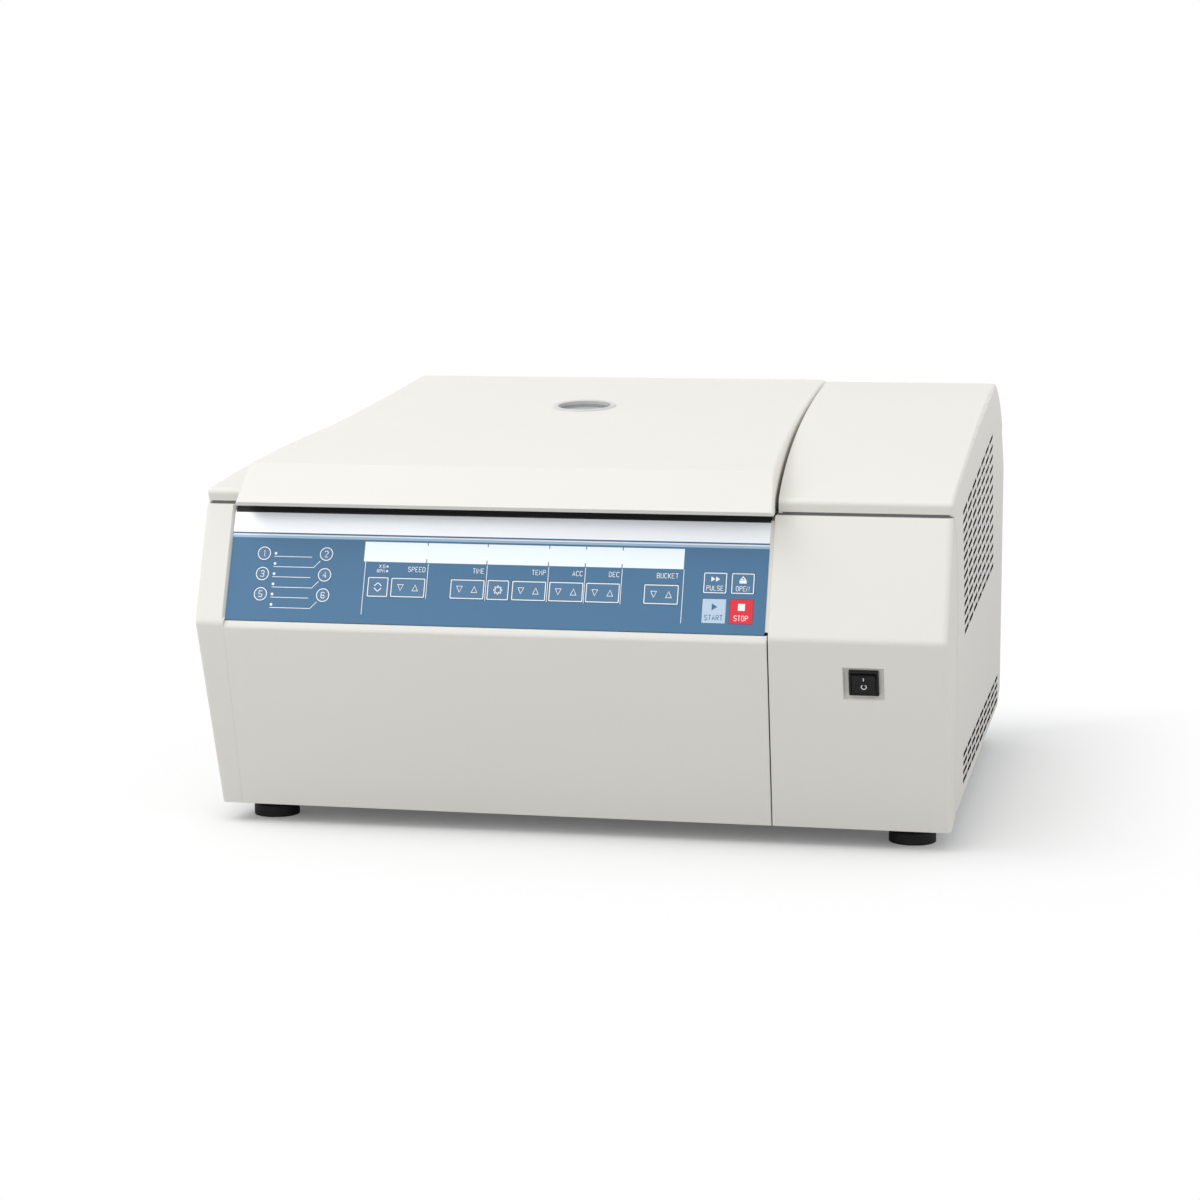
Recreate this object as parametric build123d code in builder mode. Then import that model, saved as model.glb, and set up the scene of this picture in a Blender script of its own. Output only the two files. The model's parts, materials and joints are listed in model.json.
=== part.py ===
from build123d import *
from math import atan2, cos, degrees, hypot, pi, radians, sin, tan
import os

os.makedirs("parts", exist_ok=True)

# Bench-top refrigerated centrifuge with a two-place swing-out rotor for microplates.
# Millimetres. Origin: middle of the footprint on the bench. +Z up, front faces -Y, cooling bay at +X.

# ---------------------------------------------------------------- overall sizes
width = 620.0
depth = 605.0
height = 360.0
front_y = -depth / 2
rear_y = depth / 2
side_x = width / 2

# ---------------------------------------------------------------- walls and gaps
wall = 3.0
sheet = 2.0
seam = 1.0
face_gap = 0.3
running = 0.05
foot_height = 16.0

# ---------------------------------------------------------------- front outline
front_top_z = height - 86.0
front_top_setback = 34.7
fascia_rise = 95.0
bulge_z = front_top_z - fascia_rise
skirt_setback = 60.9
bulge_radius = 8.0
wing_radius = 5.0
edge_radius = 1.0
rim_bevel = 2.4
strip_width = 24.5
strip_foot_width = 17.5
strip_radius = 3.5
panel_gap = 0.6
panel_top = 5.5
bay_seam_x = side_x - 143.0

# ---------------------------------------------------------------- side covers
lip_z = height - 83.4
lip_height = 10.1
lip_setback = 38.4
lip_lean = -4.2
lip_radius = 4.0
cover_radius = 3.0
wing_gap = 1.6
crest_from_rear = 135.0
crown_rise = 5.5
left_crest_drop = 38.0
rear_shoulder_z = height - 90.0
bend_share_y = 0.6
bend_share_z = 0.62
skirt_front_z = 24.0
skirt_rear_z = 51.5
skirt_kick_length = 45.0
skirt_kick_rise = 11.0
wing_bottom_setback = 104.0

# ---------------------------------------------------------------- base pan
base_height = 36.0
base_front_y = front_y + skirt_setback + 7.0
base_side = side_x - wall - 0.5

# ---------------------------------------------------------------- lid
lid_x = -53.0
lid_lip_z = height - 81.6
lid_lip_setback = 8.6
lid_lip_turn = 3.0
lid_radius = 3.0
lid_corner_radius = 8.0
lid_crease_z = height - 51.3
lid_crease_setback = 37.0
lid_rear_from_rear = 106.3
lid_rear_y = rear_y - lid_rear_from_rear
lid_wall_z = height - 86.0
lid_step_setback = 46.0
lid_gap = 3.0
lid_half_front = side_x - 85.9
lid_half_rear = lid_half_front - 23.6

# ---------------------------------------------------------------- deck and chamber
deck_z = height - 89.0
deck_thickness = 3.0
chamber_radius = 165.0
bowl_sheet = 1.5
bowl_corner = 24.0
chamber_floor_z = 120.0
chamber_y = lid_rear_y - 178.7
coil_height = 10.0
coil_depth = 5.0
coil_turns = 4
coil_pitch = 26.0
foam_radius = 196.0
foam_floor = 12.0
seal_width = 8.0

# ---------------------------------------------------------------- hinge
hinge_from_lid_rear = 28.3
hinge_z = deck_z + 19.0
hinge_y = lid_rear_y + hinge_from_lid_rear
pin_radius = 5.0
arm_radius = 11.0
arm_thickness = 10.0
arm_spacing = 300.0

# ---------------------------------------------------------------- drive and rotor
motor_radius = 62.0
motor_height = 66.0
mount_height = 22.0
shaft_radius = 10.0
rotor_pin_z = 212.0
swing_radius = 72.0
plate_length = 127.8
plate_width = 85.5
plate_clearance = 0.6
carrier_wall = 2.5
carrier_drop = 52.0
boss_depth = 5.5
trunnion_radius = 5.0
beam_gap = 0.8
beam_width = 12.0

# ---------------------------------------------------------------- fascia
fascia_inset = 3.0
foil = 0.5
pad_thickness = 1.2
pad_gap = 0.25
pad_proud = 0.1
key_travel = 0.35
fascia_left = -side_x + strip_width + face_gap
fascia_right = bay_seam_x + seam - face_gap
foil_left = fascia_left + 0.4
foil_right = side_x - 145.0
foil_corner = 3.0
fascia_low = 6.0
fascia_high = 97.5

# ================================================================ helpers
upper_angle = atan2(front_top_setback, fascia_rise)
lower_angle = atan2(skirt_setback, bulge_z - foot_height)
fascia_plane = Plane(
    origin=(0, front_y, bulge_z),
    x_dir=(1, 0, 0),
    z_dir=(0, -cos(upper_angle), sin(upper_angle)),
)
lower_plane = Plane(
    origin=(0, front_y, bulge_z),
    x_dir=(1, 0, 0),
    z_dir=(0, -cos(lower_angle), -sin(lower_angle)),
)


def on_upper(up, out):
    """(y, z) of a point on the sloping fascia plane: up along it, out of it."""
    y = front_y + up * sin(upper_angle) - out * cos(upper_angle)
    z = bulge_z + up * cos(upper_angle) + out * sin(upper_angle)
    return (y, z)


def on_lower(down, out):
    """(y, z) of a point on the undercut front below the bulge."""
    y = front_y + down * sin(lower_angle) - out * cos(lower_angle)
    z = bulge_z - down * cos(lower_angle) - out * sin(lower_angle)
    return (y, z)


def outline(plane, points):
    """A closed straight-sided face on a plane."""
    with BuildSketch(plane) as area:
        with BuildLine():
            Polyline(*points, close=True)
        make_face()
    return area.sketch


def block(x0, x1, y0, y1, z0, z1, mode=Mode.ADD):
    """A rectangular block given by its limits."""
    with BuildSketch(Plane.XY.offset(z0)) as area:
        with Locations(((x0 + x1) / 2, (y0 + y1) / 2)):
            Rectangle(abs(x1 - x0), abs(y1 - y0))
    extrude(area.sketch, amount=z1 - z0, mode=mode)


def tube_ring(plane, outer, inner, amount):
    """A flat ring or sleeve."""
    with BuildSketch(plane) as area:
        Circle(outer)
        Circle(inner, mode=Mode.SUBTRACT)
    extrude(area.sketch, amount=amount)


def save(part, name):
    """Label a finished piece and write it out."""
    part.label = name
    export_step(part, f"parts/{name}.step")


# The lid tapers towards the hinge. Its edge and the covers beside it follow one curve.
lid_mid_front_y = front_y + 107.0
lid_mid_y = front_y + 0.59 * (lid_rear_y - front_y)


def lid_edge(side, gap, first_y, last_y):
    """Points of the lid's plan edge on one side (+1 right, -1 left), moved out by gap."""
    rear_half = lid_half_rear + gap
    front_half = lid_half_front + gap
    curve = (
        (front_half - 0.4, first_y),
        (front_half - 9.9, lid_mid_front_y),
        (rear_half + 3.0, lid_mid_y),
        (rear_half, last_y),
    )
    return [(lid_x + side * half, y) for half, y in curve]


def beside_lid(plane, side, gap, reach):
    """Plan area on one side of the lid, from its edge plus a gap out to a reach."""
    points = lid_edge(side, gap, front_y + lid_lip_setback, lid_rear_y)
    rear_x = points[-1][0]
    front_x = points[0][0]
    with BuildSketch(plane) as area:
        with BuildLine():
            Spline(*points)
            Polyline(
                points[-1],
                (rear_x, rear_y + seam),
                (reach, rear_y + seam),
                (reach, front_y - seam),
                (front_x, front_y - seam),
                points[0],
            )
        make_face()
    return area.sketch


# ================================================================ side covers
seam_low = (front_y + wing_bottom_setback, skirt_front_z)
seam_curve = (
    (front_y + lip_setback, lip_z),
    (front_y + 75.0, lip_z - 38.0),
    (front_y + 92.0, bulge_z - 29.0),
    seam_low,
)


def cover_outline(plane, crest_drop, inset):
    """Side view of a cover: lip, arched top, rounded rear shoulder, sloping bottom, curved seam.

    An inset draws every side in by a wall.
    """
    seam_side = [(y + inset, z) for y, z in seam_curve]
    seam_side[0] = (seam_curve[0][0] + inset, lip_z + inset)
    back = rear_y - inset
    lip_low = seam_side[0]
    lip_high = (lip_low[0] + lip_lean, lip_z + lip_height - inset)
    crest = (rear_y - crest_from_rear, height - 1.0 - crest_drop - inset)
    crown = ((lip_high[0] + crest[0]) / 2, (lip_high[1] + crest[1]) / 2 + crown_rise)
    shoulder = (back, rear_shoulder_z)
    bend = (
        crest[0] + (back - crest[0]) * bend_share_y,
        shoulder[1] + (crest[1] - shoulder[1]) * bend_share_z,
    )
    with BuildSketch(plane) as area:
        with BuildLine():
            Line(lip_low, lip_high)
            ThreePointArc(lip_high, crown, crest)
            ThreePointArc(crest, bend, shoulder)
            Polyline(
                shoulder,
                (back, skirt_rear_z),
                (back - skirt_kick_length, skirt_rear_z - skirt_kick_rise),
                seam_side[-1],
            )
            Spline(*reversed(seam_side))
        make_face()
    return area.sketch


def cover_cavity(side, crest_drop):
    """Room inside a side cover: under its top between both walls, and all below the deck."""
    far = side * (side_x - wall)
    with BuildPart() as cavity:
        area = cover_outline(Plane.YZ, crest_drop, wall)
        extrude(area, amount=far)
        block(0, far, front_y, front_y + 2 * lip_setback, deck_z, lip_z)
        area = beside_lid(Plane.XY, side, lid_gap + wall, far)
        extrude(area, amount=height, mode=Mode.INTERSECT)
        block(0, far, front_y, rear_y + seam, 0, deck_z + face_gap)
    return cavity.part


def side_cover(side, crest_drop, cavity):
    """Moulded cover of one side: its top beside the lid and its side wall in one piece."""
    with BuildPart() as cover:
        area = cover_outline(Plane.YZ, crest_drop, 0)
        extrude(area, amount=side * side_x)
        fillet(cover.edges().filter_by(Axis.X).group_by(Axis.Y)[0], radius=lip_radius)
        outer = cover.faces().filter_by(Axis.X).sort_by(Axis.X)[-1 if side > 0 else 0]
        rim = outer.edges().filter_by(lambda edge: edge.center().Z > lip_z or edge.center().Y > 0)
        fillet(rim.filter_by_position(Axis.Z, skirt_rear_z + seam, height), radius=cover_radius)
        area = beside_lid(Plane.XY, side, lid_gap, side * side_x)
        extrude(area, amount=height, mode=Mode.INTERSECT)
        add(cavity, mode=Mode.SUBTRACT)
    return cover


vent_rows = 14
vent_columns = 7
vent_slot = 37.0
vent_slot_height = 3.8
vent_skin = 1.2
vent_margin = 4.0
vent_front = front_y + 122.0
vent_front_low = front_y + 158.0
vent_length = 320.0
vent_top_front_z = height - 91.0
vent_top_rear_z = height - 47.0
vent_low_front_z = height - 194.0
vent_low_rear_z = height - 171.0
low_vent_rows = 4
low_vent_columns = 9
low_vent_front = front_y + 165.0
low_vent_length = 395.0
low_vent_z = 38.0
low_vent_pitch = 7.4
low_vent_rise = 9.0


def vent_ends(front_end_y, front_z, length, rear_z):
    """Front and rear end of a slot row, as vectors (y, z)."""
    return (Vector(front_end_y, front_z), Vector(front_end_y + length, rear_z))


upper_first = vent_ends(vent_front, vent_top_front_z, vent_length, vent_top_rear_z)
upper_last = vent_ends(vent_front_low, vent_low_front_z, vent_length, vent_low_rear_z)
low_top_z = low_vent_z + low_vent_pitch * (low_vent_rows - 1)
lower_first = vent_ends(low_vent_front, low_top_z, low_vent_length, low_top_z + low_vent_rise)
lower_last = vent_ends(low_vent_front, low_vent_z, low_vent_length, low_vent_z + low_vent_rise)


def vent_thinning(first, last):
    """Thin the wall behind a fan of slots, a margin beyond its first and last row."""
    area = outline(
        Plane.YZ.offset(side_x - vent_skin),
        (
            first[0] + Vector(0, vent_margin),
            first[1] + Vector(0, vent_margin),
            last[1] - Vector(0, vent_margin),
            last[0] - Vector(0, vent_margin),
        ),
    )
    extrude(area, amount=-wall, mode=Mode.SUBTRACT)


def vent_field(rows, columns, first, last):
    """A fan of slot rows between a first and a last row, each given by its two ends."""
    for row in range(rows):
        share = row / (rows - 1)
        front_end = first[0] * (1 - share) + last[0] * share
        rear_end = first[1] * (1 - share) + last[1] * share
        slope = degrees(atan2(rear_end.Y - front_end.Y, rear_end.X - front_end.X))
        for column in range(columns):
            place = front_end + (rear_end - front_end) * ((column + 0.5) / columns)
            with Locations(Location((place.X, place.Y), slope)):
                Rectangle(vent_slot, vent_slot_height)


with BuildPart() as left_cover:
    add(side_cover(-1, left_crest_drop, cover_cavity(-1, left_crest_drop)).part)

with BuildPart() as cooling_cover:
    add(side_cover(1, 0.0, cover_cavity(1, 0.0)).part)
    vent_thinning(upper_first, upper_last)
    vent_thinning(lower_first, lower_last)
    with BuildSketch(Plane.YZ.offset(side_x - 2 * wall)):
        vent_field(vent_rows, vent_columns, upper_first, upper_last)
        vent_field(low_vent_rows, low_vent_columns, lower_first, lower_last)
    extrude(amount=3 * wall, mode=Mode.SUBTRACT)

save(left_cover.part, "left_cover")
save(cooling_cover.part, "cooling_cover")

# ================================================================ front pieces
def front_block(x0, x1):
    """Front of the casing between two X places: undercut below, bulge, slope up to the flat top."""
    area = outline(
        Plane.YZ.offset(x0),
        (
            (front_y + wing_bottom_setback, skirt_front_z),
            (front_y + skirt_setback, foot_height),
            (front_y, bulge_z),
            on_upper(hypot(front_top_setback, fascia_rise), 0),
            (front_y + wing_bottom_setback, front_top_z),
        ),
    )
    extrude(area, amount=x1 - x0)


def round_front(piece, edge_x, radius):
    """Round the front edges that lie in the plane at an X, from the foot to the top."""
    edges = piece.edges().filter_by_position(Axis.X, edge_x - running, edge_x + running)
    last_y = front_y + skirt_setback / 2 + seam
    fillet(edges.filter_by_position(Axis.Y, front_y - seam, last_y), radius=radius)


def round_bulge(piece):
    """Round the crest of the bulge."""
    fillet(piece.edges().filter_by(Axis.X).group_by(Axis.Y)[0], radius=bulge_radius)


def round_top(piece):
    """Soften the front edge of the flat top."""
    tops = piece.edges().filter_by(Axis.X).group_by(Axis.Z)[-1]
    fillet(tops.group_by(Axis.Y)[0], radius=edge_radius)


def ahead_of_seam(x0, amount):
    """Keep only what lies ahead of the curved seam beside the side cover."""
    wing_seam = [(y - wing_gap, z) for y, z in seam_curve]
    with BuildSketch(Plane.YZ.offset(x0)) as area:
        with BuildLine():
            Spline(*wing_seam)
            Polyline(
                wing_seam[-1],
                (wing_seam[-1][0], 0),
                (front_y - seam, 0),
                (front_y - seam, height),
                (wing_seam[0][0], height),
                wing_seam[0],
            )
        make_face()
    extrude(area.sketch, amount=amount, mode=Mode.INTERSECT)


def fascia_rim():
    """Bevelled rim that the fascia lies in: to its left and below it."""
    floor_left = -side_x + strip_width
    with BuildSketch(fascia_plane.offset(-fascia_inset)) as area:
        with Locations((floor_left, panel_top)):
            Rectangle(width, height, align=(Align.MIN, Align.MIN))
    rim_slope = degrees(atan2(rim_bevel, fascia_inset))
    extrude(area.sketch, amount=2 * fascia_inset, taper=-rim_slope, mode=Mode.SUBTRACT)


def front_area(plane, inset):
    """Side view of the room behind a front corner piece, reaching back past the seam."""
    with BuildSketch(plane) as area:
        with BuildLine():
            Polyline(
                (front_y + wing_bottom_setback + wall, foot_height - seam),
                on_lower((bulge_z - foot_height + seam) / cos(lower_angle), -inset),
                (front_y + inset / cos(lower_angle), bulge_z),
                on_upper(fascia_rise / cos(upper_angle) - inset, -inset),
                (front_y + wing_bottom_setback + wall, front_top_z - inset),
                close=True,
            )
        make_face()
    return area.sketch


def strip_front(inset):
    """Front view of the left strip, wider at the top than at the foot, drawn in by an inset."""
    return outline(
        Plane.XZ.offset(-front_y - wing_bottom_setback - wall),
        (
            (-side_x + inset, 0),
            (-side_x + strip_foot_width - inset, 0),
            (-side_x + strip_width - inset, bulge_z),
            (-side_x + strip_width - inset, height),
            (-side_x + inset, height),
        ),
    )


def base_clearance(inner_x):
    """Room for the base pan behind the front, from the side skin to an inner X."""
    edge = side_x - wall if inner_x > 0 else -side_x + wall
    block(
        min(edge, inner_x),
        max(edge, inner_x),
        base_front_y - seam,
        base_front_y + wing_bottom_setback,
        foot_height - seam,
        foot_height + base_height + seam,
        mode=Mode.SUBTRACT,
    )


with BuildPart() as left_strip_room:
    area = front_area(Plane.YZ.offset(-side_x), wall)
    extrude(area, amount=2 * strip_width)
    area = strip_front(wall)
    extrude(area, amount=2 * wing_bottom_setback, mode=Mode.INTERSECT)


with BuildPart() as left_front_strip:
    front_block(-side_x, -side_x + 2 * strip_width)
    round_bulge(left_front_strip)
    round_front(left_front_strip, -side_x, strip_radius)
    round_top(left_front_strip)
    ahead_of_seam(-side_x, 2 * strip_width)
    area = strip_front(0)
    extrude(area, amount=2 * wing_bottom_setback, mode=Mode.INTERSECT)
    fascia_rim()
    add(left_strip_room.part, mode=Mode.SUBTRACT)
    base_clearance(-side_x + 2 * strip_width)

switch_x = side_x - 67.0
switch_down = 38.5
recess_width = 33.0
recess_height = 29.5
recess_depth = 4.5
bezel_width = 23.8
bezel_height = 21.8
bezel_rim = 2.0
bezel_proud = 3.5
switch_hole_width = 19.0
switch_hole_height = 17.0

with BuildPart() as cooling_front_panel:
    front_block(bay_seam_x + seam, side_x)
    round_bulge(cooling_front_panel)
    round_front(cooling_front_panel, side_x, wing_radius)
    round_front(cooling_front_panel, bay_seam_x + seam, edge_radius)
    round_top(cooling_front_panel)
    ahead_of_seam(bay_seam_x, width)
    area = front_area(Plane.YZ.offset(bay_seam_x + seam + wall), wall)
    extrude(area, amount=side_x - bay_seam_x - seam - 2 * wall, mode=Mode.SUBTRACT)
    base_clearance(bay_seam_x)
    # switch recess: a cup behind the skin, with drafted sides and a hole for the switch
    with BuildSketch(lower_plane.offset(-recess_depth - wall)):
        with Locations((switch_x, -switch_down)):
            Rectangle(recess_width + 2 * wall, recess_height + 2 * wall)
    extrude(amount=recess_depth + wall / 2)
    with BuildSketch(lower_plane):
        with Locations((switch_x, -switch_down)):
            Rectangle(recess_width, recess_height)
    extrude(amount=-recess_depth, taper=12, mode=Mode.SUBTRACT)
    with BuildSketch(lower_plane.offset(-recess_depth)):
        with Locations((switch_x, -switch_down)):
            Rectangle(switch_hole_width, switch_hole_height)
    extrude(amount=-2 * wall, mode=Mode.SUBTRACT)

with BuildPart() as front_panel:
    area = outline(
        Plane.YZ.offset(-side_x),
        (
            (front_y + skirt_setback, foot_height),
            (front_y, bulge_z),
            on_upper(panel_top, 0),
            on_upper(panel_top, -fascia_inset - wall),
            on_upper(panel_top - wall, -fascia_inset - wall),
            (front_y + wall / cos(lower_angle), bulge_z),
            (front_y + skirt_setback + wall / cos(lower_angle), foot_height),
        ),
    )
    extrude(area, amount=side_x + bay_seam_x)
    area = outline(
        Plane.XZ.offset(-front_y - wing_bottom_setback),
        (
            (-side_x + strip_foot_width + panel_gap, 0),
            (-side_x + strip_width + panel_gap, bulge_z),
            (-side_x + strip_width + panel_gap, height),
            (bay_seam_x, height),
            (bay_seam_x, 0),
        ),
    )
    extrude(area, amount=2 * wing_bottom_setback, mode=Mode.INTERSECT)
    round_bulge(front_panel)
    round_front(front_panel, bay_seam_x, edge_radius)
    fascia_rim()

save(left_front_strip.part, "left_front_strip")
save(front_panel.part, "front_panel")
save(cooling_front_panel.part, "cooling_front_panel")

# ================================================================ keypad
# Key fields on the fascia plane: name, middle x, middle height, width, height.
arrow_row = 34.4
arrow_height = 16.4
arrow_pads = (
    ("speed", -130.9, 29.0),
    ("time", -80.9, 28.6),
    ("temperature", -29.4, 28.4),
    ("acceleration", 1.4, 28.4),
    ("braking", 31.6, 28.0),
    ("bucket", 79.6, 28.4),
)
single_keys = (
    ("unit_key", -156.4, arrow_row, 17.6, arrow_height),
    ("precool_key", -55.1, arrow_row, 18.2, arrow_height),
    ("pulse_key", 122.9, 45.0, 19.0, 16.8),
    ("open_key", 145.3, 45.0, 18.6, 16.8),
    ("start_key", 123.2, 22.0, 19.0, 19.8),
    ("stop_key", 145.3, 22.0, 18.6, 19.8),
)
program_radius = 5.8
program_keys = (
    (-256.2, 60.5),
    (-202.6, 61.0),
    (-256.2, 43.2),
    (-202.6, 43.4),
    (-256.2, 26.0),
    (-202.6, 26.3),
)
window_left = -170.2
window_right = 96.6
window_low = 55.6
window_high = 72.4


def key_rectangles(grow):
    """All rectangular key fields, each grown by an allowance."""
    for name, x, w in arrow_pads:
        with Locations((x, arrow_row)):
            Rectangle(w + grow, arrow_height + grow)
    for name, x, up, w, h in single_keys:
        with Locations((x, up)):
            Rectangle(w + grow, h + grow)


def key_circles(grow):
    """All round program key fields, each grown by an allowance."""
    with Locations(*program_keys):
        Circle(program_radius + grow / 2)


pad_top = -fascia_inset + foil + pad_proud
pocket_floor = pad_top - pad_thickness - 2 * key_travel

with BuildPart() as fascia_panel:
    with BuildSketch(fascia_plane.offset(-fascia_inset - wall)):
        with Locations(((fascia_left + fascia_right) / 2, (fascia_low + fascia_high) / 2)):
            Rectangle(fascia_right - fascia_left, fascia_high - fascia_low)
    extrude(amount=wall)
    with BuildSketch(fascia_plane.offset(-fascia_inset)):
        key_rectangles(2 * pad_gap)
        key_circles(2 * pad_gap)
    extrude(amount=pocket_floor + fascia_inset, mode=Mode.SUBTRACT)
    # top flange back to the deck
    block(
        fascia_left,
        fascia_right,
        on_upper(fascia_high, -fascia_inset)[0],
        front_y + lid_step_setback + 10,
        deck_z - deck_thickness - sheet,
        deck_z - deck_thickness,
    )

with BuildPart() as keypad_foil:
    with BuildSketch(fascia_plane.offset(-fascia_inset)):
        with Locations(((foil_left + foil_right) / 2, (fascia_low + fascia_high) / 2)):
            RectangleRounded(foil_right - foil_left, fascia_high - fascia_low - seam, foil_corner)
        with Locations(((window_left + window_right) / 2, (window_low + window_high) / 2)):
            Rectangle(
                window_right - window_left,
                window_high - window_low,
                mode=Mode.SUBTRACT,
            )
    extrude(amount=foil)
    with BuildSketch(fascia_plane.offset(-fascia_inset)):
        key_rectangles(2 * pad_gap)
        key_circles(2 * pad_gap)
    extrude(amount=foil, mode=Mode.SUBTRACT)

with BuildPart() as display_window:
    with BuildSketch(fascia_plane.offset(-fascia_inset)):
        with Locations(((window_left + window_right) / 2, (window_low + window_high) / 2)):
            Rectangle(window_right - window_left - 0.1, window_high - window_low - 0.1)
    extrude(amount=foil)

save(fascia_panel.part, "fascia_panel")
save(keypad_foil.part, "keypad_foil")
save(display_window.part, "display_window")


def key_pad(name, x, up, w, h):
    """One rectangular key field."""
    with BuildPart() as pad:
        with BuildSketch(fascia_plane.offset(pad_top - pad_thickness)):
            with Locations((x, up)):
                Rectangle(w, h)
        extrude(amount=pad_thickness)
    save(pad.part, name)


for pad_name, pad_x, pad_width in arrow_pads:
    key_pad(pad_name + "_rocker_key", pad_x, arrow_row, pad_width, arrow_height)
for key_name, key_x, key_up, key_width, key_height in single_keys:
    key_pad(key_name, key_x, key_up, key_width, key_height)
for number, place in enumerate(program_keys, start=1):
    with BuildPart() as program_key:
        with BuildSketch(fascia_plane.offset(pad_top - pad_thickness)):
            with Locations(place):
                Circle(program_radius)
        extrude(amount=pad_thickness)
    save(program_key.part, f"program_key_{number}")

with BuildPart() as control_board:
    with BuildSketch(fascia_plane.offset(-fascia_inset - wall - 1.6)):
        with Locations(((window_left + fascia_right) / 2, 45)):
            Rectangle(fascia_right - window_left - 12, 70)
    extrude(amount=1.6)
    with BuildSketch(fascia_plane.offset(-fascia_inset - wall - 1.6)):
        with Locations(((window_left + fascia_right) / 2, 45)):
            with GridLocations(60, 30, 4, 2):
                Rectangle(22, 12)
    extrude(amount=-6)

save(control_board.part, "control_board")

# ================================================================ power switch
with BuildPart() as switch_bezel:
    with BuildSketch(lower_plane.offset(-recess_depth)):
        with Locations((switch_x, -switch_down)):
            Rectangle(bezel_width, bezel_height)
            Rectangle(
                bezel_width - 2 * bezel_rim,
                bezel_height - 2 * bezel_rim,
                mode=Mode.SUBTRACT,
            )
    extrude(amount=bezel_proud)
    with BuildSketch(lower_plane.offset(-recess_depth)):
        with Locations((switch_x, -switch_down)):
            Rectangle(bezel_width - bezel_rim, bezel_height - bezel_rim)
    extrude(amount=0.6)
    with BuildSketch(lower_plane.offset(-recess_depth + 0.6)):
        with Locations((switch_x, -switch_down)):
            Rectangle(switch_hole_width - face_gap, switch_hole_height - face_gap)
    extrude(amount=-20)
    with BuildSketch(lower_plane.offset(-recess_depth + 0.6)):
        with Locations((switch_x, -switch_down)):
            Rectangle(switch_hole_width - face_gap - 2, switch_hole_height - face_gap - 2)
    extrude(amount=-8, mode=Mode.SUBTRACT)

rocker_width = bezel_width - 2 * bezel_rim - 0.8
rocker_length = bezel_height - 2 * bezel_rim - 0.8
rocker_tilt = 6.0
rocker_axis_out = -recess_depth + 1.4
rocker_stem = 14.0
rocker_pin = 2.4
rocker_frame = Plane(
    origin=lower_plane.from_local_coords((switch_x, -switch_down, rocker_axis_out)),
    x_dir=(1, 0, 0),
    z_dir=lower_plane.z_dir,
)
rocker_plane = rocker_frame.rotated((rocker_tilt, 0, 0))
rocker_section = Plane(
    origin=rocker_plane.from_local_coords((-rocker_width / 2, 0, 0)),
    x_dir=rocker_plane.y_dir,
    z_dir=(1, 0, 0),
)

with BuildPart() as switch_rocker:
    half = rocker_length / 2
    with BuildSketch(rocker_section) as rocker_shape:
        with BuildLine():
            l1 = Line((-half, 0.6), (-half + 0.4, 3.4))
            l2 = ThreePointArc(l1 @ 1, (0, 2.0), (half - 0.4, 3.4))
            l3 = Polyline(l2 @ 1, (half, 0.6), l1 @ 0)
        make_face()
    extrude(amount=rocker_width)
    with BuildSketch(rocker_section.offset((rocker_width - rocker_stem) / 2)):
        Circle(rocker_pin)
    extrude(amount=rocker_stem)

save(switch_bezel.part, "switch_bezel")
save(switch_rocker.part, "switch_rocker")

# ================================================================ lid
crease = (front_y + lid_crease_setback, lid_crease_z)
lid_top_rear = (lid_rear_y, height)
lid_slope = atan2(lid_top_rear[1] - crease[1], lid_top_rear[0] - crease[0])


def lid_plan(plane, inset):
    """Plan of the lid, drawn in by an inset."""
    left = lid_edge(-1, -inset, front_y + lid_lip_setback + inset, lid_rear_y - inset)
    right = lid_edge(1, -inset, front_y + lid_lip_setback + inset, lid_rear_y - inset)
    with BuildSketch(plane) as area:
        with BuildLine():
            Spline(*left)
            Spline(*right)
            Line(left[0], right[0])
            Line(left[-1], right[-1])
        make_face()
    return area.sketch


lip_under_z = lid_lip_z - lid_lip_turn
lip_under_y = front_y + lid_lip_setback + 0.75 * lid_lip_turn
liner_setback = lid_lip_setback + 12.0


def lid_outline(plane):
    """Side view of the lid: turned-under lip, sloping front, crease, rising top, rear wall."""
    return outline(
        plane,
        (
            (front_y + lid_lip_setback, lid_lip_z),
            crease,
            lid_top_rear,
            (lid_rear_y, lid_wall_z),
            (front_y + lid_step_setback, lid_wall_z),
            (front_y + lid_step_setback, lip_under_z),
            (lip_under_y, lip_under_z),
        ),
    )


def lid_room_outline(plane):
    """Side view of the room in the lid, open below behind the floor of the lip."""
    top_drop = wall / cos(lid_slope)
    front_slope = atan2(lid_crease_z - lid_lip_z, lid_crease_setback - lid_lip_setback)
    front_in = wall / sin(front_slope)
    below = lid_wall_z - wall
    lip_floor_y = front_y + liner_setback + 2 * wall
    return outline(
        plane,
        (
            (front_y + lid_lip_setback + front_in, lid_lip_z),
            (crease[0] + front_in - top_drop / tan(front_slope), crease[1] - top_drop),
            (lid_rear_y - wall, height - top_drop),
            (lid_rear_y - wall, below),
            (lip_floor_y, below),
            (lip_floor_y, lid_lip_z),
        ),
    )


arm_places = (lid_x - arm_spacing / 2, lid_x + arm_spacing / 2)
liner_z = lid_lip_z + 1.2
liner_thickness = 2.5

sight_y = chamber_y + 11.0
sight_radius = 24.0
sight_ring_radius = 29.0
sight_along = (sight_y - crease[0]) / cos(lid_slope)
sight_top_z = crease[1] + sight_along * sin(lid_slope)
sight_plane = Plane(
    origin=(lid_x, sight_y, sight_top_z),
    x_dir=(1, 0, 0),
    z_dir=(0, -sin(lid_slope), cos(lid_slope)),
)
sleeve_wall = 2.0

with BuildPart() as lid_room:
    area = lid_room_outline(Plane.YZ.offset(lid_x - side_x))
    extrude(area, amount=2 * side_x)
    area = lid_plan(Plane.XY, wall)
    extrude(area, amount=2 * height, mode=Mode.INTERSECT)

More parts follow.
